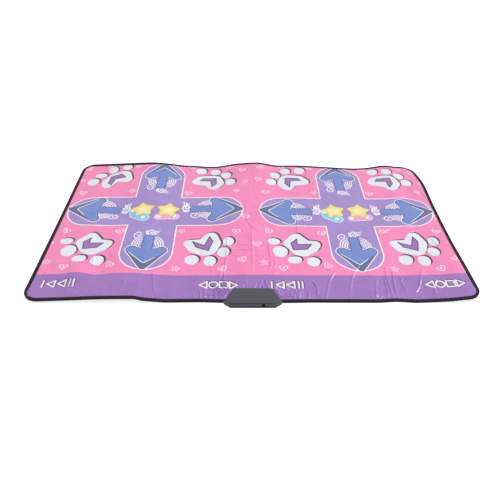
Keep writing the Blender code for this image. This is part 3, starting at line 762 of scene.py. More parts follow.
def draw_print():
    """The whole print."""
    sheet = Print()
    sheet.add("band", rectangle(-HALF_LENGTH, HALF_LENGTH, NEAR_Y, BAND_EDGE))
    for number, centre in enumerate(CROSS_CENTRES):
        draw_motifs(sheet, centre)
        draw_cross(sheet, centre, number)
        draw_centre(sheet, centre)
        for corner, paw in PAWS.items():
            if number == 1 and corner == (-1, 1):
                paw = mirrored(PAWS[1, 1])
            draw_paw(sheet, centre, paw)
    sheet.place((0.0, 0.0))
    draw_keys(sheet)
    return sheet


# Sheets made from flat patterns

def divided(outline, step):
    """A closed outline with no edge longer than a step."""
    points = []
    for start, end in zip(outline, np.roll(outline, -1, axis=0)):
        count = max(1, math.ceil(math.dist(start, end) / step))
        for i in range(count):
            points.append(start + (end - start) * i / count)
    return np.array(points)


def cut_pattern(outlines, spacing, places=None):
    """Small triangles that follow every outline: the points and the faces."""
    loops = [divided(np.asarray(outline, float), spacing) for outline in outlines]
    pinned = np.concatenate(loops)
    edges = []
    first = 0
    for loop in loops:
        count = len(loop)
        edges += [(first + i, first + (i + 1) % count) for i in range(count)]
        first += count
    if places is not None:
        pinned = np.concatenate([pinned, places])
    low, high = pinned.min(0), pinned.max(0)
    row_step = spacing * math.sqrt(0.75)
    rows = []
    for i, y in enumerate(np.arange(low[1] + row_step / 2, high[1], row_step)):
        x = np.arange(low[0] + spacing * (0.5 + i % 2) / 2, high[0], spacing)
        rows.append(np.stack([x, np.full_like(x, y)], 1))
    grid = np.concatenate(rows)
    tree = kdtree.KDTree(len(pinned))
    for i, (x, y) in enumerate(pinned):
        tree.insert((x, y, 0.0), i)
    tree.balance()
    clear = [tree.find((x, y, 0.0))[2] > spacing * 0.4 for x, y in grid]
    points = np.concatenate([pinned, grid[np.array(clear)]])
    made = geometry.delaunay_2d_cdt([Vector(p) for p in points], edges, [], 0, 0.00005, False)
    points = np.array([p[:] for p in made[0]])
    faces = np.array(made[2])
    area = cross_of(*points[faces].transpose(1, 2, 0))
    faces[area < 0] = faces[area < 0][:, ::-1]
    return points, faces[np.abs(area) > 1e-12]


def add_object(name, data):
    """An object in the scene."""
    made = bpy.data.objects.new(name, data)
    bpy.context.scene.collection.objects.link(made)
    return made


def tube_faces(rings, count, first=0, joined=False):
    """Faces between rings of points, whose last meets the first or else has both ends closed."""
    faces = []
    for ring in range(rings if joined else rings - 1):
        low = first + ring * count
        high = first + (ring + 1) % rings * count
        for i in range(count):
            after = (i + 1) % count
            faces.append((low + i, low + after, high + after, high + i))
    if not joined:
        last = first + (rings - 1) * count
        faces += [tuple(range(first, first + count))[::-1], tuple(range(last, last + count))]
    return faces


def new_object(name, vertices, faces, finishes, face_finish=None, normals=None):
    """A smooth mesh object from arrays."""
    mesh = bpy.data.meshes.new(name)
    mesh.from_pydata(vertices.tolist(), [], faces)
    for finish in finishes:
        mesh.materials.append(finish)
    if face_finish is not None:
        mesh.polygons.foreach_set("material_index", face_finish)
    mesh.shade_smooth()
    if normals is not None:
        mesh.normals_split_custom_set(normals)
    return add_object(name, mesh)


def laid_slab(name, points, faces, bottom, top, finishes, inks=None, film=False, hem=None):
    """A closed thin sheet laid over the waves. hem is how far down each point's underside goes."""
    used, faces = np.unique(faces, return_inverse=True)
    faces = faces.reshape(-1, 3)
    points = points[used]
    count = len(points)
    x, y = points.T
    upper = laid(x, y, np.full(count, top), film)
    depth = np.full(count, top - bottom)
    if hem is not None:
        depth = depth + hem[used]
    lower = upper - np.stack([np.zeros(count), np.zeros(count), depth], 1)
    vertices = np.concatenate([upper, lower])
    starts = faces.ravel()
    ends = np.roll(faces, -1, axis=1).ravel()
    rim = ~np.isin(starts * count + ends, ends * count + starts)
    a, b = starts[rim], ends[rim]
    walls = np.stack([a, a + count, b + count, b], 1)
    under = faces[:, ::-1] + count
    facing = laid_normals(x, y, film)
    wall_facing = unit(np.cross(vertices[walls[:, 1]] - vertices[walls[:, 0]],
                                vertices[walls[:, 3]] - vertices[walls[:, 0]]))
    normals = np.concatenate([facing[faces.ravel()], -facing[faces[:, ::-1].ravel()],
                              np.repeat(wall_facing, 4, axis=0)])
    all_faces = faces.tolist() + under.tolist() + walls.tolist()
    back = len(finishes) - 1
    if inks is None:
        inks = np.zeros(len(faces), int)
    face_finish = np.concatenate([inks, np.full(len(faces) + len(walls), back)])
    return new_object(name, vertices, all_faces, finishes, face_finish, normals)


def area_of(points, faces):
    """Area of a flat pattern."""
    return float(np.abs(cross_of(*points[faces].transpose(1, 2, 0))).sum() / 2)


# Finishes

def linear(colour):
    """Linear red, green and blue of a colour given in 0 to 255."""
    shares = [part / 255 for part in colour]
    return [s / 12.92 if s <= 0.04045 else ((s + 0.055) / 1.055) ** 2.4 for s in shares]


class Signal:
    """A value in a shader. Sums written with it add Math nodes."""

    def __init__(self, finish, socket):
        self.finish = finish
        self.socket = socket

    def maths(self, operation, first, second):
        """One Math node."""
        return self.finish.node("Math", {"operation": operation}, {0: first, 1: second})

    def __add__(self, other):
        return self.maths("ADD", self, other)

    def __radd__(self, other):
        return self.maths("ADD", other, self)

    def __sub__(self, other):
        return self.maths("SUBTRACT", self, other)

    def __rsub__(self, other):
        return self.maths("SUBTRACT", other, self)

    def __mul__(self, other):
        return self.maths("MULTIPLY", self, other)

    def __rmul__(self, other):
        return self.maths("MULTIPLY", other, self)

    def at_most(self, level):
        """The value, cut off above a level."""
        return self.maths("MINIMUM", self, level)

    def above(self, level):
        """1 where the value is above a level."""
        return self.maths("GREATER_THAN", self, level)


class Graph:
    """The nodes of a material or of the world."""

    def __init__(self, tree):
        self.tree = tree

    def node(self, kind, settings=None, inputs=None, output=0):
        """Any node: its type, its settings and the values or links of its sockets."""
        made = self.tree.nodes.new("ShaderNode" + kind)
        for key, value in (settings or {}).items():
            setattr(made, key, value)
        for key, value in (inputs or {}).items():
            self.feed(made.inputs[key], value)
        return Signal(self, made.outputs[output])

    def feed(self, socket, value):
        """Link a signal to a socket, or set the socket."""
        if isinstance(value, Signal):
            self.tree.links.new(value.socket, socket)
        else:
            socket.default_value = value

    def seen_plainly(self):
        """1 for what the camera sees, also in a reflection or through something clear."""
        path = [self.node("LightPath", output=f"Is {kind} Ray")
                for kind in ("Camera", "Glossy", "Transmission")]
        return (path[0] + path[1] + path[2]).at_most(1.0)


class Finish(Graph):
    """A Principled material under construction."""

    def __init__(self, name, roughness, **constants):
        self.material = bpy.data.materials.new(name)
        self.material.use_nodes = True
        super().__init__(self.material.node_tree)
        self.shader = self.tree.nodes["Principled BSDF"]
        self.shader.inputs["Roughness"].default_value = roughness
        for socket, value in constants.items():
            self.shader.inputs[socket.replace("_", " ")].default_value = value
        self.place = self.node("TexCoord", output="Object")

    def noise(self, scale, detail=2.0, roughness=0.5, distortion=0.0, stretch=None):
        """Noise from 0 to 1, from an object's own coordinates."""
        place = self.place
        if stretch:
            place = self.node("Mapping", {}, {"Vector": place, "Scale": stretch})
        return self.node("TexNoise", {}, {"Vector": place, "Scale": scale, "Detail": detail,
                                          "Roughness": roughness, "Distortion": distortion})

    def cells(self, scale, feature="F1"):
        """Distance to the nearest of scattered cells."""
        return self.node("TexVoronoi", {"feature": feature},
                         {"Vector": self.place, "Scale": scale}, "Distance")

    def mix(self, factor, first, second):
        """One colour or another."""
        return self.node("Mix", {"data_type": "RGBA"},
                         {0: factor, 6: opaque(first), 7: opaque(second)}, 2)

    def wear(self, colour, factor, share):
        """A colour that varies by a share of itself."""
        dark = [part * (1 - share) for part in colour]
        light = [min(part * (1 + share), 1.0) for part in colour]
        return self.mix(factor, dark, light)

    def finish(self, colour, roughness=None, height=None, distance=0.001, strength=1.0):
        """Feed the shader."""
        self.feed(self.shader.inputs["Base Color"], opaque(colour))
        if roughness is not None:
            self.feed(self.shader.inputs["Roughness"], roughness)
        if height is not None:
            bump = self.node("Bump", {}, {"Height": height, "Distance": distance,
                                          "Strength": strength}, "Normal")
            self.feed(self.shader.inputs["Normal"], bump)
        return self.material


def opaque(colour):
    """A colour with its fourth part, or a signal as it is."""
    return colour if isinstance(colour, Signal) else (*colour, 1.0)


def ink_finish(name, colour):
    """Printed glossy film: creases and crinkles, fine embossed grain, slightly uneven ink."""
    film = Finish("ink_" + name, 0.30, Specular_IOR_Level=0.5)
    crinkle = film.noise(24.0, 5.0, 0.58, 0.6)
    slow = film.noise(5.0, 2.0)
    grain = film.cells(900.0)
    creased = film.cells(9.0, "DISTANCE_TO_EDGE").at_most(0.045)
    small = film.cells(23.0, "DISTANCE_TO_EDGE").at_most(0.07)
    tone = film.wear(colour, slow * 0.6 + crinkle * 0.4, 0.09)
    height = crinkle * 2.4 + creased * slow * 20.0 + small * slow * 4.0 + grain * 0.05
    return film.finish(tone, slow * 0.16 + 0.19, height, 0.001, 0.9)


def back_finish():
    """The cover film's plain underside."""
    film = Finish("film_back", 0.55)
    fabric = film.noise(700.0, 3.0)
    return film.finish(film.wear(linear((226, 224, 228)), fabric, 0.06), None, fabric, 0.0002)


def tape_finish(colour):
    """Woven ribbed tape."""
    tape = Finish("woven_tape", 0.9, Specular_IOR_Level=0.15)
    ribs = tape.node("TexWave", {"bands_direction": "DIAGONAL"},
                     {"Vector": tape.place, "Scale": 420.0, "Distortion": 1.5, "Detail": 2.0})
    fuzz = tape.noise(900.0, 3.0)
    slow = tape.noise(14.0, 3.0)
    tone = tape.wear(colour, ribs * 0.45 + slow * 0.35 + fuzz * 0.2, 0.35)
    return tape.finish(tone, fuzz * 0.1 + 0.85, ribs * 0.7 + fuzz * 0.3, 0.0005)


def thread_finish(colour):
    """Twisted sewing thread."""
    thread = Finish("sewing_thread", 0.7, Specular_IOR_Level=0.2)
    twist = thread.noise(1600.0, 2.0)
    return thread.finish(thread.wear(colour, twist, 0.3), None, twist, 0.0002)


def foam_finish():
    """White closed-cell foam."""
    foam = Finish("white_foam", 0.9)
    cells = foam.cells(700.0)
    cloud = foam.noise(20.0)
    tone = foam.wear(linear((236, 236, 230)), cells * 0.7 + cloud * 0.4, 0.08)
    return foam.finish(tone, None, cells, 0.0003)


def film_finish():
    """Clear-grey contact film with faint silver traces."""
    film = Finish("contact_film_sheet", 0.28)
    lines = film.node("TexWave", {"bands_direction": "X"},
                      {"Vector": film.place, "Scale": 14.0}).above(0.93)
    haze = film.noise(30.0, 3.0)
    tone = film.mix(lines, film.wear(linear((186, 190, 196)), haze, 0.08), linear((120, 122, 126)))
    return film.finish(tone, haze * 0.1 + 0.22, haze, 0.0003)


def pad_finish():
    """Carbon-printed contact pad."""
    pad = Finish("carbon_pad", 0.5)
    grid = pad.node("TexChecker", {}, {"Vector": pad.place, "Scale": 180.0}, "Fac")
    speck = pad.noise(500.0, 3.0)
    return pad.finish(pad.wear(linear((52, 52, 56)), speck, 0.25), speck * 0.2 + 0.4,
                      grid * 0.4 + speck * 0.6, 0.0002)


def grip_finish(colour):
    """Black knitted backing of the non-slip sheet."""
    grip = Finish("grip_backing", 0.85)
    knit = grip.node("TexWave", {"bands_direction": "X"},
                     {"Vector": grip.place, "Scale": 260.0, "Distortion": 3.0, "Detail": 2.0})
    slow = grip.noise(12.0, 3.0)
    return grip.finish(grip.wear(colour, knit * 0.6 + slow * 0.4, 0.3), None, knit, 0.0004)


def moulded_finish(name, colour, roughness):
    """Moulded plastic with a fine spark-eroded texture and faint rub marks."""
    plastic = Finish(name, roughness, Specular_IOR_Level=0.35)
    grain = plastic.noise(1500.0, 2.0)
    cloud = plastic.noise(28.0, 3.0)
    rub = plastic.noise(60.0, 4.0, 0.6, 0.0, (1.0, 6.0, 1.0))
    tone = plastic.wear(colour, cloud * 0.6 + grain * 0.4, 0.10)
    return plastic.finish(tone, rub * 0.16 + (roughness - 0.08), grain, 0.00012)


def metal_finish():
    """Zinc-plated steel, turned."""
    steel = Finish("plated_steel", 0.3, Metallic=1.0)
    lathe = steel.noise(400.0, 2.0, 0.5, 0.0, (1.0, 1.0, 8.0))
    return steel.finish(steel.wear(linear((196, 196, 200)), lathe, 0.12), lathe * 0.2 + 0.2,
                        lathe, 0.0001)


def board_finish():
    """Green laminate with traces under the mask."""
    board = Finish("board_laminate_mask", 0.38)
    traces = board.node("TexBrick", {"offset": 0.5},
                        {"Vector": board.place, "Scale": 260.0, "Mortar Size": 0.03}, "Fac")
    weave = board.noise(900.0, 2.0)
    tone = board.mix(traces, board.wear(linear((30, 110, 62)), weave, 0.1), linear((60, 146, 84)))
    return board.finish(tone, None, weave, 0.0001)


# Settings

def length(name, description, default):
    """A length setting."""
    return bpy.props.FloatProperty(name=name, description=description, default=default,
                                   unit="LENGTH", precision=5)


def share(name, description, default):
    """A setting from 0 to 1 or so."""
    return bpy.props.FloatProperty(name=name, description=description, default=default,
                                   min=0.0, max=2.0, subtype="FACTOR")


def tint(name, description, colour):
    """A colour setting, its default given in 0 to 255."""
    return bpy.props.FloatVectorProperty(name=name, description=description, size=3,
                                         default=linear(colour), subtype="COLOR", min=0.0, max=1.0)


class MatSettings(bpy.types.PropertyGroup):
    """Sizes of the laid mat and its binding."""

    spacing: length("Mesh spacing", "Distance between points of the printed cover", 0.0055)
    core_spacing: length("Core spacing", "Distance between points of the hidden layers", 0.012)
    wave_share: share("Waves", "How much of their full height the mat's waves have", 1.0)
    fold_share: share("Folds", "How much of their full height the film's small folds have", 1.0)
    zone_hem: length("Zone hem", "How far the cover's edge reaches down round a zone", 0.0018)
    tape_width: length("Tape width", "Width of the binding on each face", 0.0126)
    tape_thickness: length("Tape thickness", "Thickness of the binding", 0.0007)
    tape_crown: length("Tape crown", "How much the binding bulges over the mat's edge", 0.0005)
    tape_pucker: length("Tape pucker", "Height of the binding's small gathers", 0.0004)
    stitch_pitch: length("Stitch pitch", "Distance between stitches", 0.0042)
    stitch_length: length("Stitch length", "Length of a stitch", 0.0030)
    stitch_inset: length("Stitch inset", "Distance of the seam from the mat's edge", 0.0084)
    thread_width: length("Thread", "Thickness of the thread", 0.0008)
    # The next three sizes place a dark strip under the box's rim: painted shade in place of the
    # shadow under the rim
    rim_line_drop: length("Rim line drop", "How far under the box's top the dark line is", 0.0025)
    rim_line_width: length("Rim line", "Width of the dark line under the box's rim", 0.0022)
    rim_line_proud: length("Rim line proud", "How far the line stands out of the wall", 0.0002)


class PrintColours(bpy.types.PropertyGroup):
    """Inks of the cover."""

    pink: tint("Ground", "Pink ground", (254, 139, 190))
    band: tint("Band", "Purple band along the near edge", (160, 116, 190))
    lavender: tint("Cross", "Cross", (166, 140, 205))
    rim: tint("Rim", "Pale outlines", (252, 246, 252))
    scroll: tint("Scrolls", "Scrolls beside the arrows", (246, 244, 250))
    navy: tint("Arrow outline", "Dark outline of the arrows", (56, 62, 104))
    slate: tint("Wedge", "Grey-blue wedge under the arrows", (98, 104, 140))
    blue: tint("Arrow", "Arrows", (116, 139, 206))
    paw: tint("Paw", "Paw prints", (232, 236, 244))
    shadow: tint("Print shadow", "Dark shadow of the paws and symbols", (72, 58, 70))
    mark_edge: tint("Mark outline", "Dark outline of the angle marks", (84, 66, 96))
    violet: tint("Mark", "Angle marks", (160, 112, 182))
    pale: tint("Motifs", "Small motifs on the ground", (255, 226, 240))
    symbol: tint("Symbols", "Symbols of the start and select zones", (244, 240, 248))
    star: tint("Star", "Stars in the middle", (250, 226, 140))
    star_edge: tint("Star outline", "Outline of the stars", (196, 160, 96))
    star_light: tint("Star light", "Light middle of the stars", (253, 240, 180))
    puff_blue: tint("Blue puff", "Puff under the left star", (130, 205, 240))
    puff_pink: tint("Pink puff", "Puff under the right star", (246, 166, 206))


class PartColours(bpy.types.PropertyGroup):
    """Colours of everything but the print."""

    tape: tint("Tape", "Edge binding", (50, 42, 52))
    thread: tint("Thread", "Seam of the binding", (74, 64, 78))
    grip: tint("Backing", "Non-slip sheet", (44, 44, 48))
    plastic: tint("Box", "Control box, upper shell", (74, 73, 81))
    lower_plastic: tint("Box base", "Control box, lower shell", (66, 65, 70))
    port: tint("Port", "Data port", (24, 24, 26))


class StageSettings(bpy.types.PropertyGroup):
    """Camera and light."""

    focal: bpy.props.FloatProperty(name="Focal length", description="Lens in millimetres",
                                   default=34.87)
    camera_place: bpy.props.FloatVectorProperty(
        name="Camera", description="Where the camera stands", size=3, subtype="TRANSLATION",
        default=(-0.035, -1.655, 1.271))
    pitch: bpy.props.FloatProperty(name="Pitch", description="How far the camera looks down",
                                   default=math.radians(40.60), subtype="ANGLE")
    yaw: bpy.props.FloatProperty(name="Yaw", description="How far it turns to the right",
                                 default=math.radians(1.05), subtype="ANGLE")
    roll: bpy.props.FloatProperty(name="Roll", description="How far it tilts",
                                  default=math.radians(0.75), subtype="ANGLE")
    sky: bpy.props.FloatProperty(name="Sky", description="Strength of the even light",
                                 default=0.41)
    key: bpy.props.FloatProperty(name="Key", description="Strength of the light from one side",
                                 default=1.95)
    fill: bpy.props.FloatProperty(name="Fill", description="Power of the fill lamp in watts",
                                  default=10.0)


INKS = list(PrintColours.__annotations__)


# Operators

def make_inks():
    """The finish of each ink, then the film's back."""
    colours = bpy.context.scene.dance_mat_print
    return [ink_finish(name, getattr(colours, name)) for name in INKS] + [back_finish()]


class OBJECT_OT_dance_mat_cover(bpy.types.Operator):
    """Print the top cover and lay it down, with a patch over each step zone"""

    bl_idname = "object.dance_mat_cover"
    bl_label = "Make the printed cover"

    def execute(self, context):
        sizes = context.scene.dance_mat
        sheet = draw_print()
        border = mat_outline(LAYER_INSET)
        notch = box_plan(COVER_HIGH.z, CLAMP_LIP)
        zone_outlines = {name: zone_plan(name) for name in ZONES}
        inner = [outline for _, outline in sheet.outlines]
        places = fold_points(sizes.spacing * 0.7)
        places = places[inside(places, mat_outline(LAYER_INSET + 0.001))]
        points, faces = cut_pattern([border, notch] + list(zone_outlines.values()) + inner,
                                    sizes.spacing, places)
        middles = points[faces].mean(axis=1)
        kept = inside(middles, border) & ~inside(middles, notch)
        faces, middles = faces[kept], middles[kept]
        inks = np.full(len(faces), INKS.index("pink"))
        for ink, outline in sheet.outlines:
            inks[inside(middles, outline)] = INKS.index(ink)
        owner = np.full(len(faces), -1)
        for i, outline in enumerate(zone_outlines.values()):
            owner[inside(middles, outline)] = i
        finishes = make_inks()
        bottom, top = COVER_LOW.z, COVER_HIGH.z
        rest = owner < 0
        hem = np.zeros(len(points))
        hem[np.intersect1d(faces[rest], faces[~rest])] = sizes.zone_hem
        cover = laid_slab("printed_cover", points, faces[rest], bottom, top, finishes,
                          inks[rest], True, hem)
        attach(cover, "mat")
        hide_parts("top_cover")
        area_of(points, faces[rest])
        for i, name in enumerate(zone_outlines):
            mine = owner == i
            patch = laid_slab(name + "_patch", points, faces[mine], bottom, top, finishes,
                              inks[mine], True)
            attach(patch, name + "_zone")
            area_of(points, faces[mine])
        return {"FINISHED"}


class OBJECT_OT_dance_mat_core(bpy.types.Operator):
    """Lay the hidden layers: cushion, contact films, spacer foams, pads and non-slip sheet"""

    bl_idname = "object.dance_mat_core"
    bl_label = "Make the inner layers"

    def execute(self, context):
        sizes = context.scene.dance_mat
        colours = context.scene.dance_mat_parts
        foam, film, pad = foam_finish(), film_finish(), pad_finish()
        grip = grip_finish(colours.grip)
        box_hole = rounded(box_plan(0.0, -BOX_CLEARANCE), BOX_CORNER)
        clamp_plan = box_plan(COVER_HIGH.z, CLAMP_LIP)
        windows = [zone_plan(name, ZONE_CLEARANCE) for name in ZONES]

        def layer(node, outline, holes, finish):
            low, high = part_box(node)
            points, faces = cut_pattern([outline] + holes, sizes.core_spacing)
            middles = points[faces].mean(axis=1)
            kept = inside(middles, outline)
            for hole in holes:
                kept &= ~inside(middles, hole)
            made = laid_slab(node + "_laid", points, faces[kept], low.z, high.z, [finish])
            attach(made, "mat")
            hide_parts(node)
            area_of(points, faces[kept])

        bottom_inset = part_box("bottom_cover")[0].x + HALF_LENGTH
        layer("bottom_cover", mat_outline(bottom_inset), [box_hole], grip)
        layer("cushion_foam", mat_outline(LAYER_INSET), [box_hole], foam)
        for side in ("left", "right"):
            low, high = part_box("contact_film_" + side)
            near = ZONES[side + "_start"][0].y - 0.003
            layer("contact_film_" + side, rectangle(low.x, high.x, near, high.y), [box_hole],
                  film)
            low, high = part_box("spacer_foam_" + side)
            reach = mat_outline(LAYER_INSET)
            sign = -1 if side == "left" else 1
            mine = reach[reach[:, 0] * sign > 0]
            split = low.x if sign > 0 else high.x
            corner_rows = [(split, low.y), (split, high.y)]
            outline = np.array(sorted_round(np.concatenate([mine, corner_rows])))
            holes = [window for window in windows if window[:, 0].mean() * sign > 0]
            layer("spacer_foam_" + side, outline, holes + [clamp_plan], foam)
        for name, (low, high) in ZONES.items():
            points, faces = cut_pattern([zone_plan(name)], sizes.core_spacing)
            made = laid_slab(name + "_contact", points, faces, low.z, high.z, [pad])
            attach(made, name + "_zone")
            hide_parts(name + "_pad")
        return {"FINISHED"}


def sorted_round(points):
    """Corners of a convex outline in counterclockwise order."""
    middle = points.mean(axis=0)
    return sorted(points.tolist(), key=lambda p: math.atan2(p[1] - middle[1], p[0] - middle[0]))


def binding_path(step):
    """Places along the mat's edge from one side of the box round to the other."""
    outline = mat_outline(0.0, 24)
    start = int(np.argmin(np.abs(outline[:, 0] - HALF_LENGTH + MAT_CORNER)
                          + np.abs(outline[:, 1] - NEAR_Y)))
    outline = np.roll(outline, -start, axis=0)
    back, shoulder = box_corners(TAPE_LOW.z, 0.0)[:2]
    slope = (back.x - shoulder.x) / (back.y - shoulder.y)
    end_x = -shoulder.x - (NEAR_Y - shoulder.y) * slope + 0.0006
    corners = np.concatenate([[(end_x, NEAR_Y)], outline, [(-end_x, NEAR_Y)]])
    lengths = np.concatenate([[0.0], np.cumsum(np.linalg.norm(np.diff(corners, axis=0), axis=1))])
    at = np.linspace(0.0, lengths[-1], int(lengths[-1] / step) + 1)
    places = read_line(at, lengths, corners)
    return at, places, *along_and_left(places), slope


class OBJECT_OT_dance_mat_binding(bpy.types.Operator):
    """Fold the woven tape round the edge and sew it down"""

    bl_idname = "object.dance_mat_binding"
    bl_label = "Make the edge binding"

    def execute(self, context):
        sizes = context.scene.dance_mat
        colours = context.scene.dance_mat_parts
        top = TAPE_HIGH.z
        thick, width = sizes.tape_thickness, sizes.tape_width
        crown, seam = sizes.tape_crown, sizes.stitch_inset
        fold = FOLD_RADIUS
        outer = [(width, top), (width - 0.0012, top + 0.1 * crown), (seam, top - 0.15 * crown),
                 (seam * 0.75, top + 0.8 * crown), (seam * 0.45, top + crown),
                 (fold * 1.4, top + 0.5 * crown)]
        quarter = math.pi / 2
        outer += [*arc_points((fold, top - fold), fold, quarter, quarter, 4),
                  *arc_points((fold, fold), fold, math.pi, quarter, 4),
                  (seam * 0.5, 0.0), (seam, thick / 2), (width, 0.0)]
        inner = [(width, thick), (seam * 0.5, thick),
                 *arc_points((fold, fold), fold - thick, math.pi * 1.5, -quarter, 3),
                 *arc_points((fold, top - fold), fold - thick, math.pi, -quarter, 3)]
        inner += [(seam * 0.5, top - thick + 0.8 * crown), (seam, top - thick),
                  (width, top - thick)]
        profile = np.array(outer + inner)
        at, places, along, inward, slope = binding_path(0.005)
        from_end = np.minimum(at, at[-1] - at)
        end_side = np.where(at < at[-1] / 2, 1.0, -1.0)
        vertices = []
        gather = np.sin(at * math.tau / 0.017 + 1.7 * np.sin(at * 9.0))
        trim = (NEAR_TRIM + SIDE_TRIM * eased(places[:, 1], NEAR_Y + 0.02, NEAR_Y + 0.10)
                - REAR_TRIM * eased(places[:, 1], REAR_Y - 0.10, REAR_Y - 0.02))
        turn_sharp = np.linalg.norm(np.gradient(along, axis=0), axis=1) * 12
        for across, height in profile:
            reach = across / width
            shear = -end_side * across * slope * (1 - eased(from_end, 0.0, 0.03))
            spot = places + inward * (across * trim * (1 + 0.03 * gather * reach))[:, None]
            spot = spot + along * shear[:, None]
            raised = sizes.tape_pucker * gather * (1 + turn_sharp) * reach * (height > top / 2)
            ground = places + inward * min(across, PRESSED_REACH)
            lift = laid(ground[:, 0], ground[:, 1], np.full(len(at), height))
            flat = laid(spot[:, 0], spot[:, 1], np.full(len(at), height))
            vertices.append(np.stack([flat[:, 0], flat[:, 1],
                                      lift[:, 2] + np.maximum(raised, -0.0001)], 1))
        vertices = np.stack(vertices, 1).reshape(-1, 3)
        tape = new_object("sewn_binding", vertices, tube_faces(len(at), len(profile)),
                          [tape_finish(colours.tape)])
        tape.data.flip_normals()
        tape.data.set_sharp_from_angle(angle=math.radians(50))
        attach(tape, "mat")
        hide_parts("edge_binding")
        self.sew(sizes, colours, top)
        return {"FINISHED"}

    def sew(self, sizes, colours, top):
        """Stitches on both faces of the binding."""
        at, places, along, inward, _ = binding_path(sizes.stitch_pitch)
        vertices, faces = [], []
        for i in range(1, len(at) - 1):
            middle = places[i] + inward[i] * sizes.stitch_inset
            centre = laid(middle[:1], middle[1:], np.zeros(1))[0]
            for height in (top + 0.00005, sizes.thread_width * LOW_STITCH):
                base = len(vertices)
                for shift, swell in STITCH_RINGS:
                    for side in range(THREAD_SIDES):
                        angle = math.tau * side / THREAD_SIDES
                        across = math.cos(angle) * sizes.thread_width * THREAD_WIDE * swell
                        up = math.sin(angle) * sizes.thread_width * THREAD_TALL * swell
                        spot = along[i] * shift * sizes.stitch_length + inward[i] * across
                        vertices.append((centre[0] + spot[0], centre[1] + spot[1],
                                         centre[2] + height + up))
                faces += tube_faces(len(STITCH_RINGS), THREAD_SIDES, base)
        seam = new_object("binding_seam", np.array(vertices), faces,
                          [thread_finish(colours.thread)])
        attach(seam, "mat")


class OBJECT_OT_dance_mat_box(bpy.types.Operator):
    """Give the control box and what it holds their finishes, and add a dark strip of painted shade
    under its rim
    """

    bl_idname = "object.dance_mat_box"
    bl_label = "Finish the control box"

    def execute(self, context):
        colours = context.scene.dance_mat_parts
        plastic = moulded_finish("box_moulding", colours.plastic, 0.5)
        port = moulded_finish("port_moulding", colours.port, 0.4)
        steel = metal_finish()
        rubber = moulded_finish("strip_rubber_finish", linear((40, 40, 42)), 0.8)
        resin = moulded_finish("chip_resin_finish", linear((18, 18, 20)), 0.3)
        sleeve = moulded_finish("capacitor_sleeve_finish", linear((30, 40, 96)), 0.35)
        lower = moulded_finish("box_base_moulding", colours.lower_plastic, 0.55)
        worn = {"box_top_shell": plastic, "box_bottom_shell": lower, "port_socket": port,
                "circuit_board": board_finish(), "controller_chip": resin, "crystal": steel,
                "capacitor": sleeve, "rubber_strip": rubber}
        for node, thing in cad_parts.items():
            if "screw" in node:
                worn[node] = steel
            if node in worn:
                thing.data.materials.clear()
                thing.data.materials.append(worn[node])
        # A dark strip just under the rim, in the port's near-black finish: painted shade for the
        # shadow there
        self.rim_line(context.scene.dance_mat, port)
        return {"FINISHED"}

    def rim_line(self, sizes, finish):
        """A dark strip round the box, just under its rim: painted shade that stands in for the shadow
        under the rim.
        """
        high = BOX_HEIGHT - sizes.rim_line_drop
        low = high - sizes.rim_line_width
        proud = sizes.rim_line_proud
        rings = []
        for height, out in ((low, proud), (high, proud), (high, -proud), (low, -proud)):
            plan = rounded(box_plan(height, -out), BOX_CORNER)
            rings.append(np.column_stack([plan, np.full(len(plan), height)]))
        faces = tube_faces(len(rings), len(rings[0]), joined=True)
        line = new_object("box_rim_line", np.concatenate(rings), faces, [finish])
        line.data.set_sharp_from_angle(angle=math.radians(50))
        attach(line, "mat")


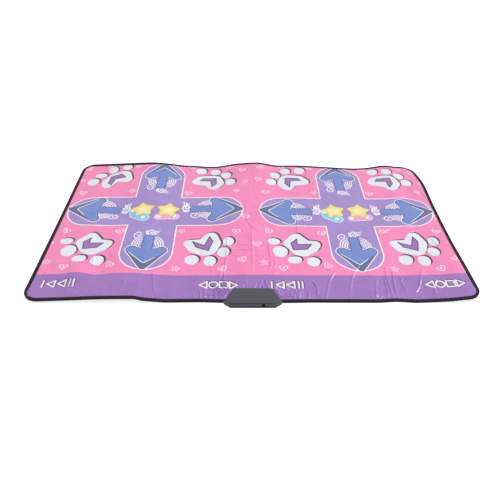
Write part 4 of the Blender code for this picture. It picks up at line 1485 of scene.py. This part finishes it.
class OBJECT_OT_dance_mat_stage(bpy.types.Operator):
    """Set up the floor, the light and the camera"""

    bl_idname = "object.dance_mat_stage"
    bl_label = "Set the stage"

    def execute(self, context):
        settings = context.scene.dance_mat_stage
        scene = context.scene
        scene.view_settings.view_transform = "Standard"
        self.floor()
        self.world(scene, settings)
        self.lamp("key_light", "SUN", KEY_PLACE,
                  {"angle": KEY_SOFTNESS, "energy": settings.key})
        self.lamp("fill_light", "AREA", FILL_PLACE,
                  {"size": FILL_SIZE, "energy": settings.fill})
        camera = bpy.data.cameras.new("view")
        camera.sensor_width = SENSOR_WIDTH
        camera.lens = settings.focal
        placed = add_object("view", camera)
        cos_p, sin_p = math.cos(settings.pitch), math.sin(settings.pitch)
        cos_y, sin_y = math.cos(settings.yaw), math.sin(settings.yaw)
        ahead = Vector((sin_y * cos_p, cos_y * cos_p, -sin_p))
        right = Vector((cos_y, -sin_y, 0.0))
        up = right.cross(ahead)
        cos_r, sin_r = math.cos(settings.roll), math.sin(settings.roll)
        tilted_right = right * cos_r + up * sin_r
        tilted_up = up * cos_r - right * sin_r
        turn = Matrix((tilted_right, tilted_up, -ahead)).transposed()
        placed.matrix_world = Matrix.Translation(settings.camera_place) @ turn.to_4x4()
        scene.camera = placed
        return {"FINISHED"}

    def floor(self):
        """A white floor that keeps the shadow and stays white in the picture."""
        size = FLOOR_HALF
        mesh = bpy.data.meshes.new("floor")
        mesh.from_pydata([(-size, -size, 0), (size, -size, 0), (size, size, 0), (-size, size, 0)],
                         [], [(0, 1, 2, 3)])
        floor = add_object("floor", mesh)
        finish = Finish("pale_floor", 0.9, Specular_IOR_Level=0.1)
        finish.feed(finish.shader.inputs["Base Color"], opaque(FLOOR_TONE))
        finish.feed(finish.shader.inputs["Emission Color"],
                    finish.mix(finish.seen_plainly(), (0.0, 0.0, 0.0), (1.0, 1.0, 1.0)))
        finish.shader.inputs["Emission Strength"].default_value = FLOOR_GLOW
        mesh.materials.append(finish.material)

    def world(self, scene, settings):
        """Even white light, and plain white where the picture sees past the floor."""
        world = bpy.data.worlds.new("studio")
        world.use_nodes = True
        scene.world = world
        graph = Graph(world.node_tree)
        background = graph.tree.nodes["Background"]
        background.inputs["Color"].default_value = (1.0, 1.0, 1.0, 1.0)
        plain = graph.seen_plainly()
        graph.feed(background.inputs["Strength"], plain * (1.0 - settings.sky) + settings.sky)

    def lamp(self, name, kind, place, values):
        """A soft lamp that shines on the middle of the mat."""
        light = bpy.data.lights.new(name, kind)
        for key, value in values.items():
            setattr(light, key, value)
        made = add_object(name, light)
        made.location = place
        made.rotation_euler = (-Vector(place)).to_track_quat("-Z", "Y").to_euler()


class VIEW3D_PT_dance_mat(bpy.types.Panel):
    """The mat's settings and the steps that make it"""

    bl_idname = "VIEW3D_PT_dance_mat"
    bl_label = "Dance mat"
    bl_space_type = "VIEW_3D"
    bl_region_type = "UI"
    bl_category = PANEL_TAB

    def draw(self, context):
        for group in SETTINGS:
            box = self.layout.box()
            owner = getattr(context.scene, group)
            for name in type(owner).__annotations__:
                box.prop(owner, name)
        for step in STEPS:
            self.layout.operator(step.bl_idname)


SETTINGS = {"dance_mat": MatSettings, "dance_mat_print": PrintColours,
            "dance_mat_parts": PartColours, "dance_mat_stage": StageSettings}
STEPS = [OBJECT_OT_dance_mat_cover, OBJECT_OT_dance_mat_core, OBJECT_OT_dance_mat_binding,
         OBJECT_OT_dance_mat_box, OBJECT_OT_dance_mat_stage]


def register():
    """Add the settings, the steps and the panel."""
    for group, kind in SETTINGS.items():
        bpy.utils.register_class(kind)
        setattr(bpy.types.Scene, group, bpy.props.PointerProperty(type=kind))
    for kind in STEPS + [VIEW3D_PT_dance_mat]:
        bpy.utils.register_class(kind)


def unregister():
    """Take them out again."""
    for kind in [VIEW3D_PT_dance_mat] + STEPS[::-1]:
        bpy.utils.unregister_class(kind)
    for group, kind in SETTINGS.items():
        delattr(bpy.types.Scene, group)
        bpy.utils.unregister_class(kind)


def main():
    """Make every piece."""
    register()
    for step in STEPS:
        group, name = step.bl_idname.split(".")
        getattr(getattr(bpy.ops, group), name)()


if __name__ == "__main__":
    main()
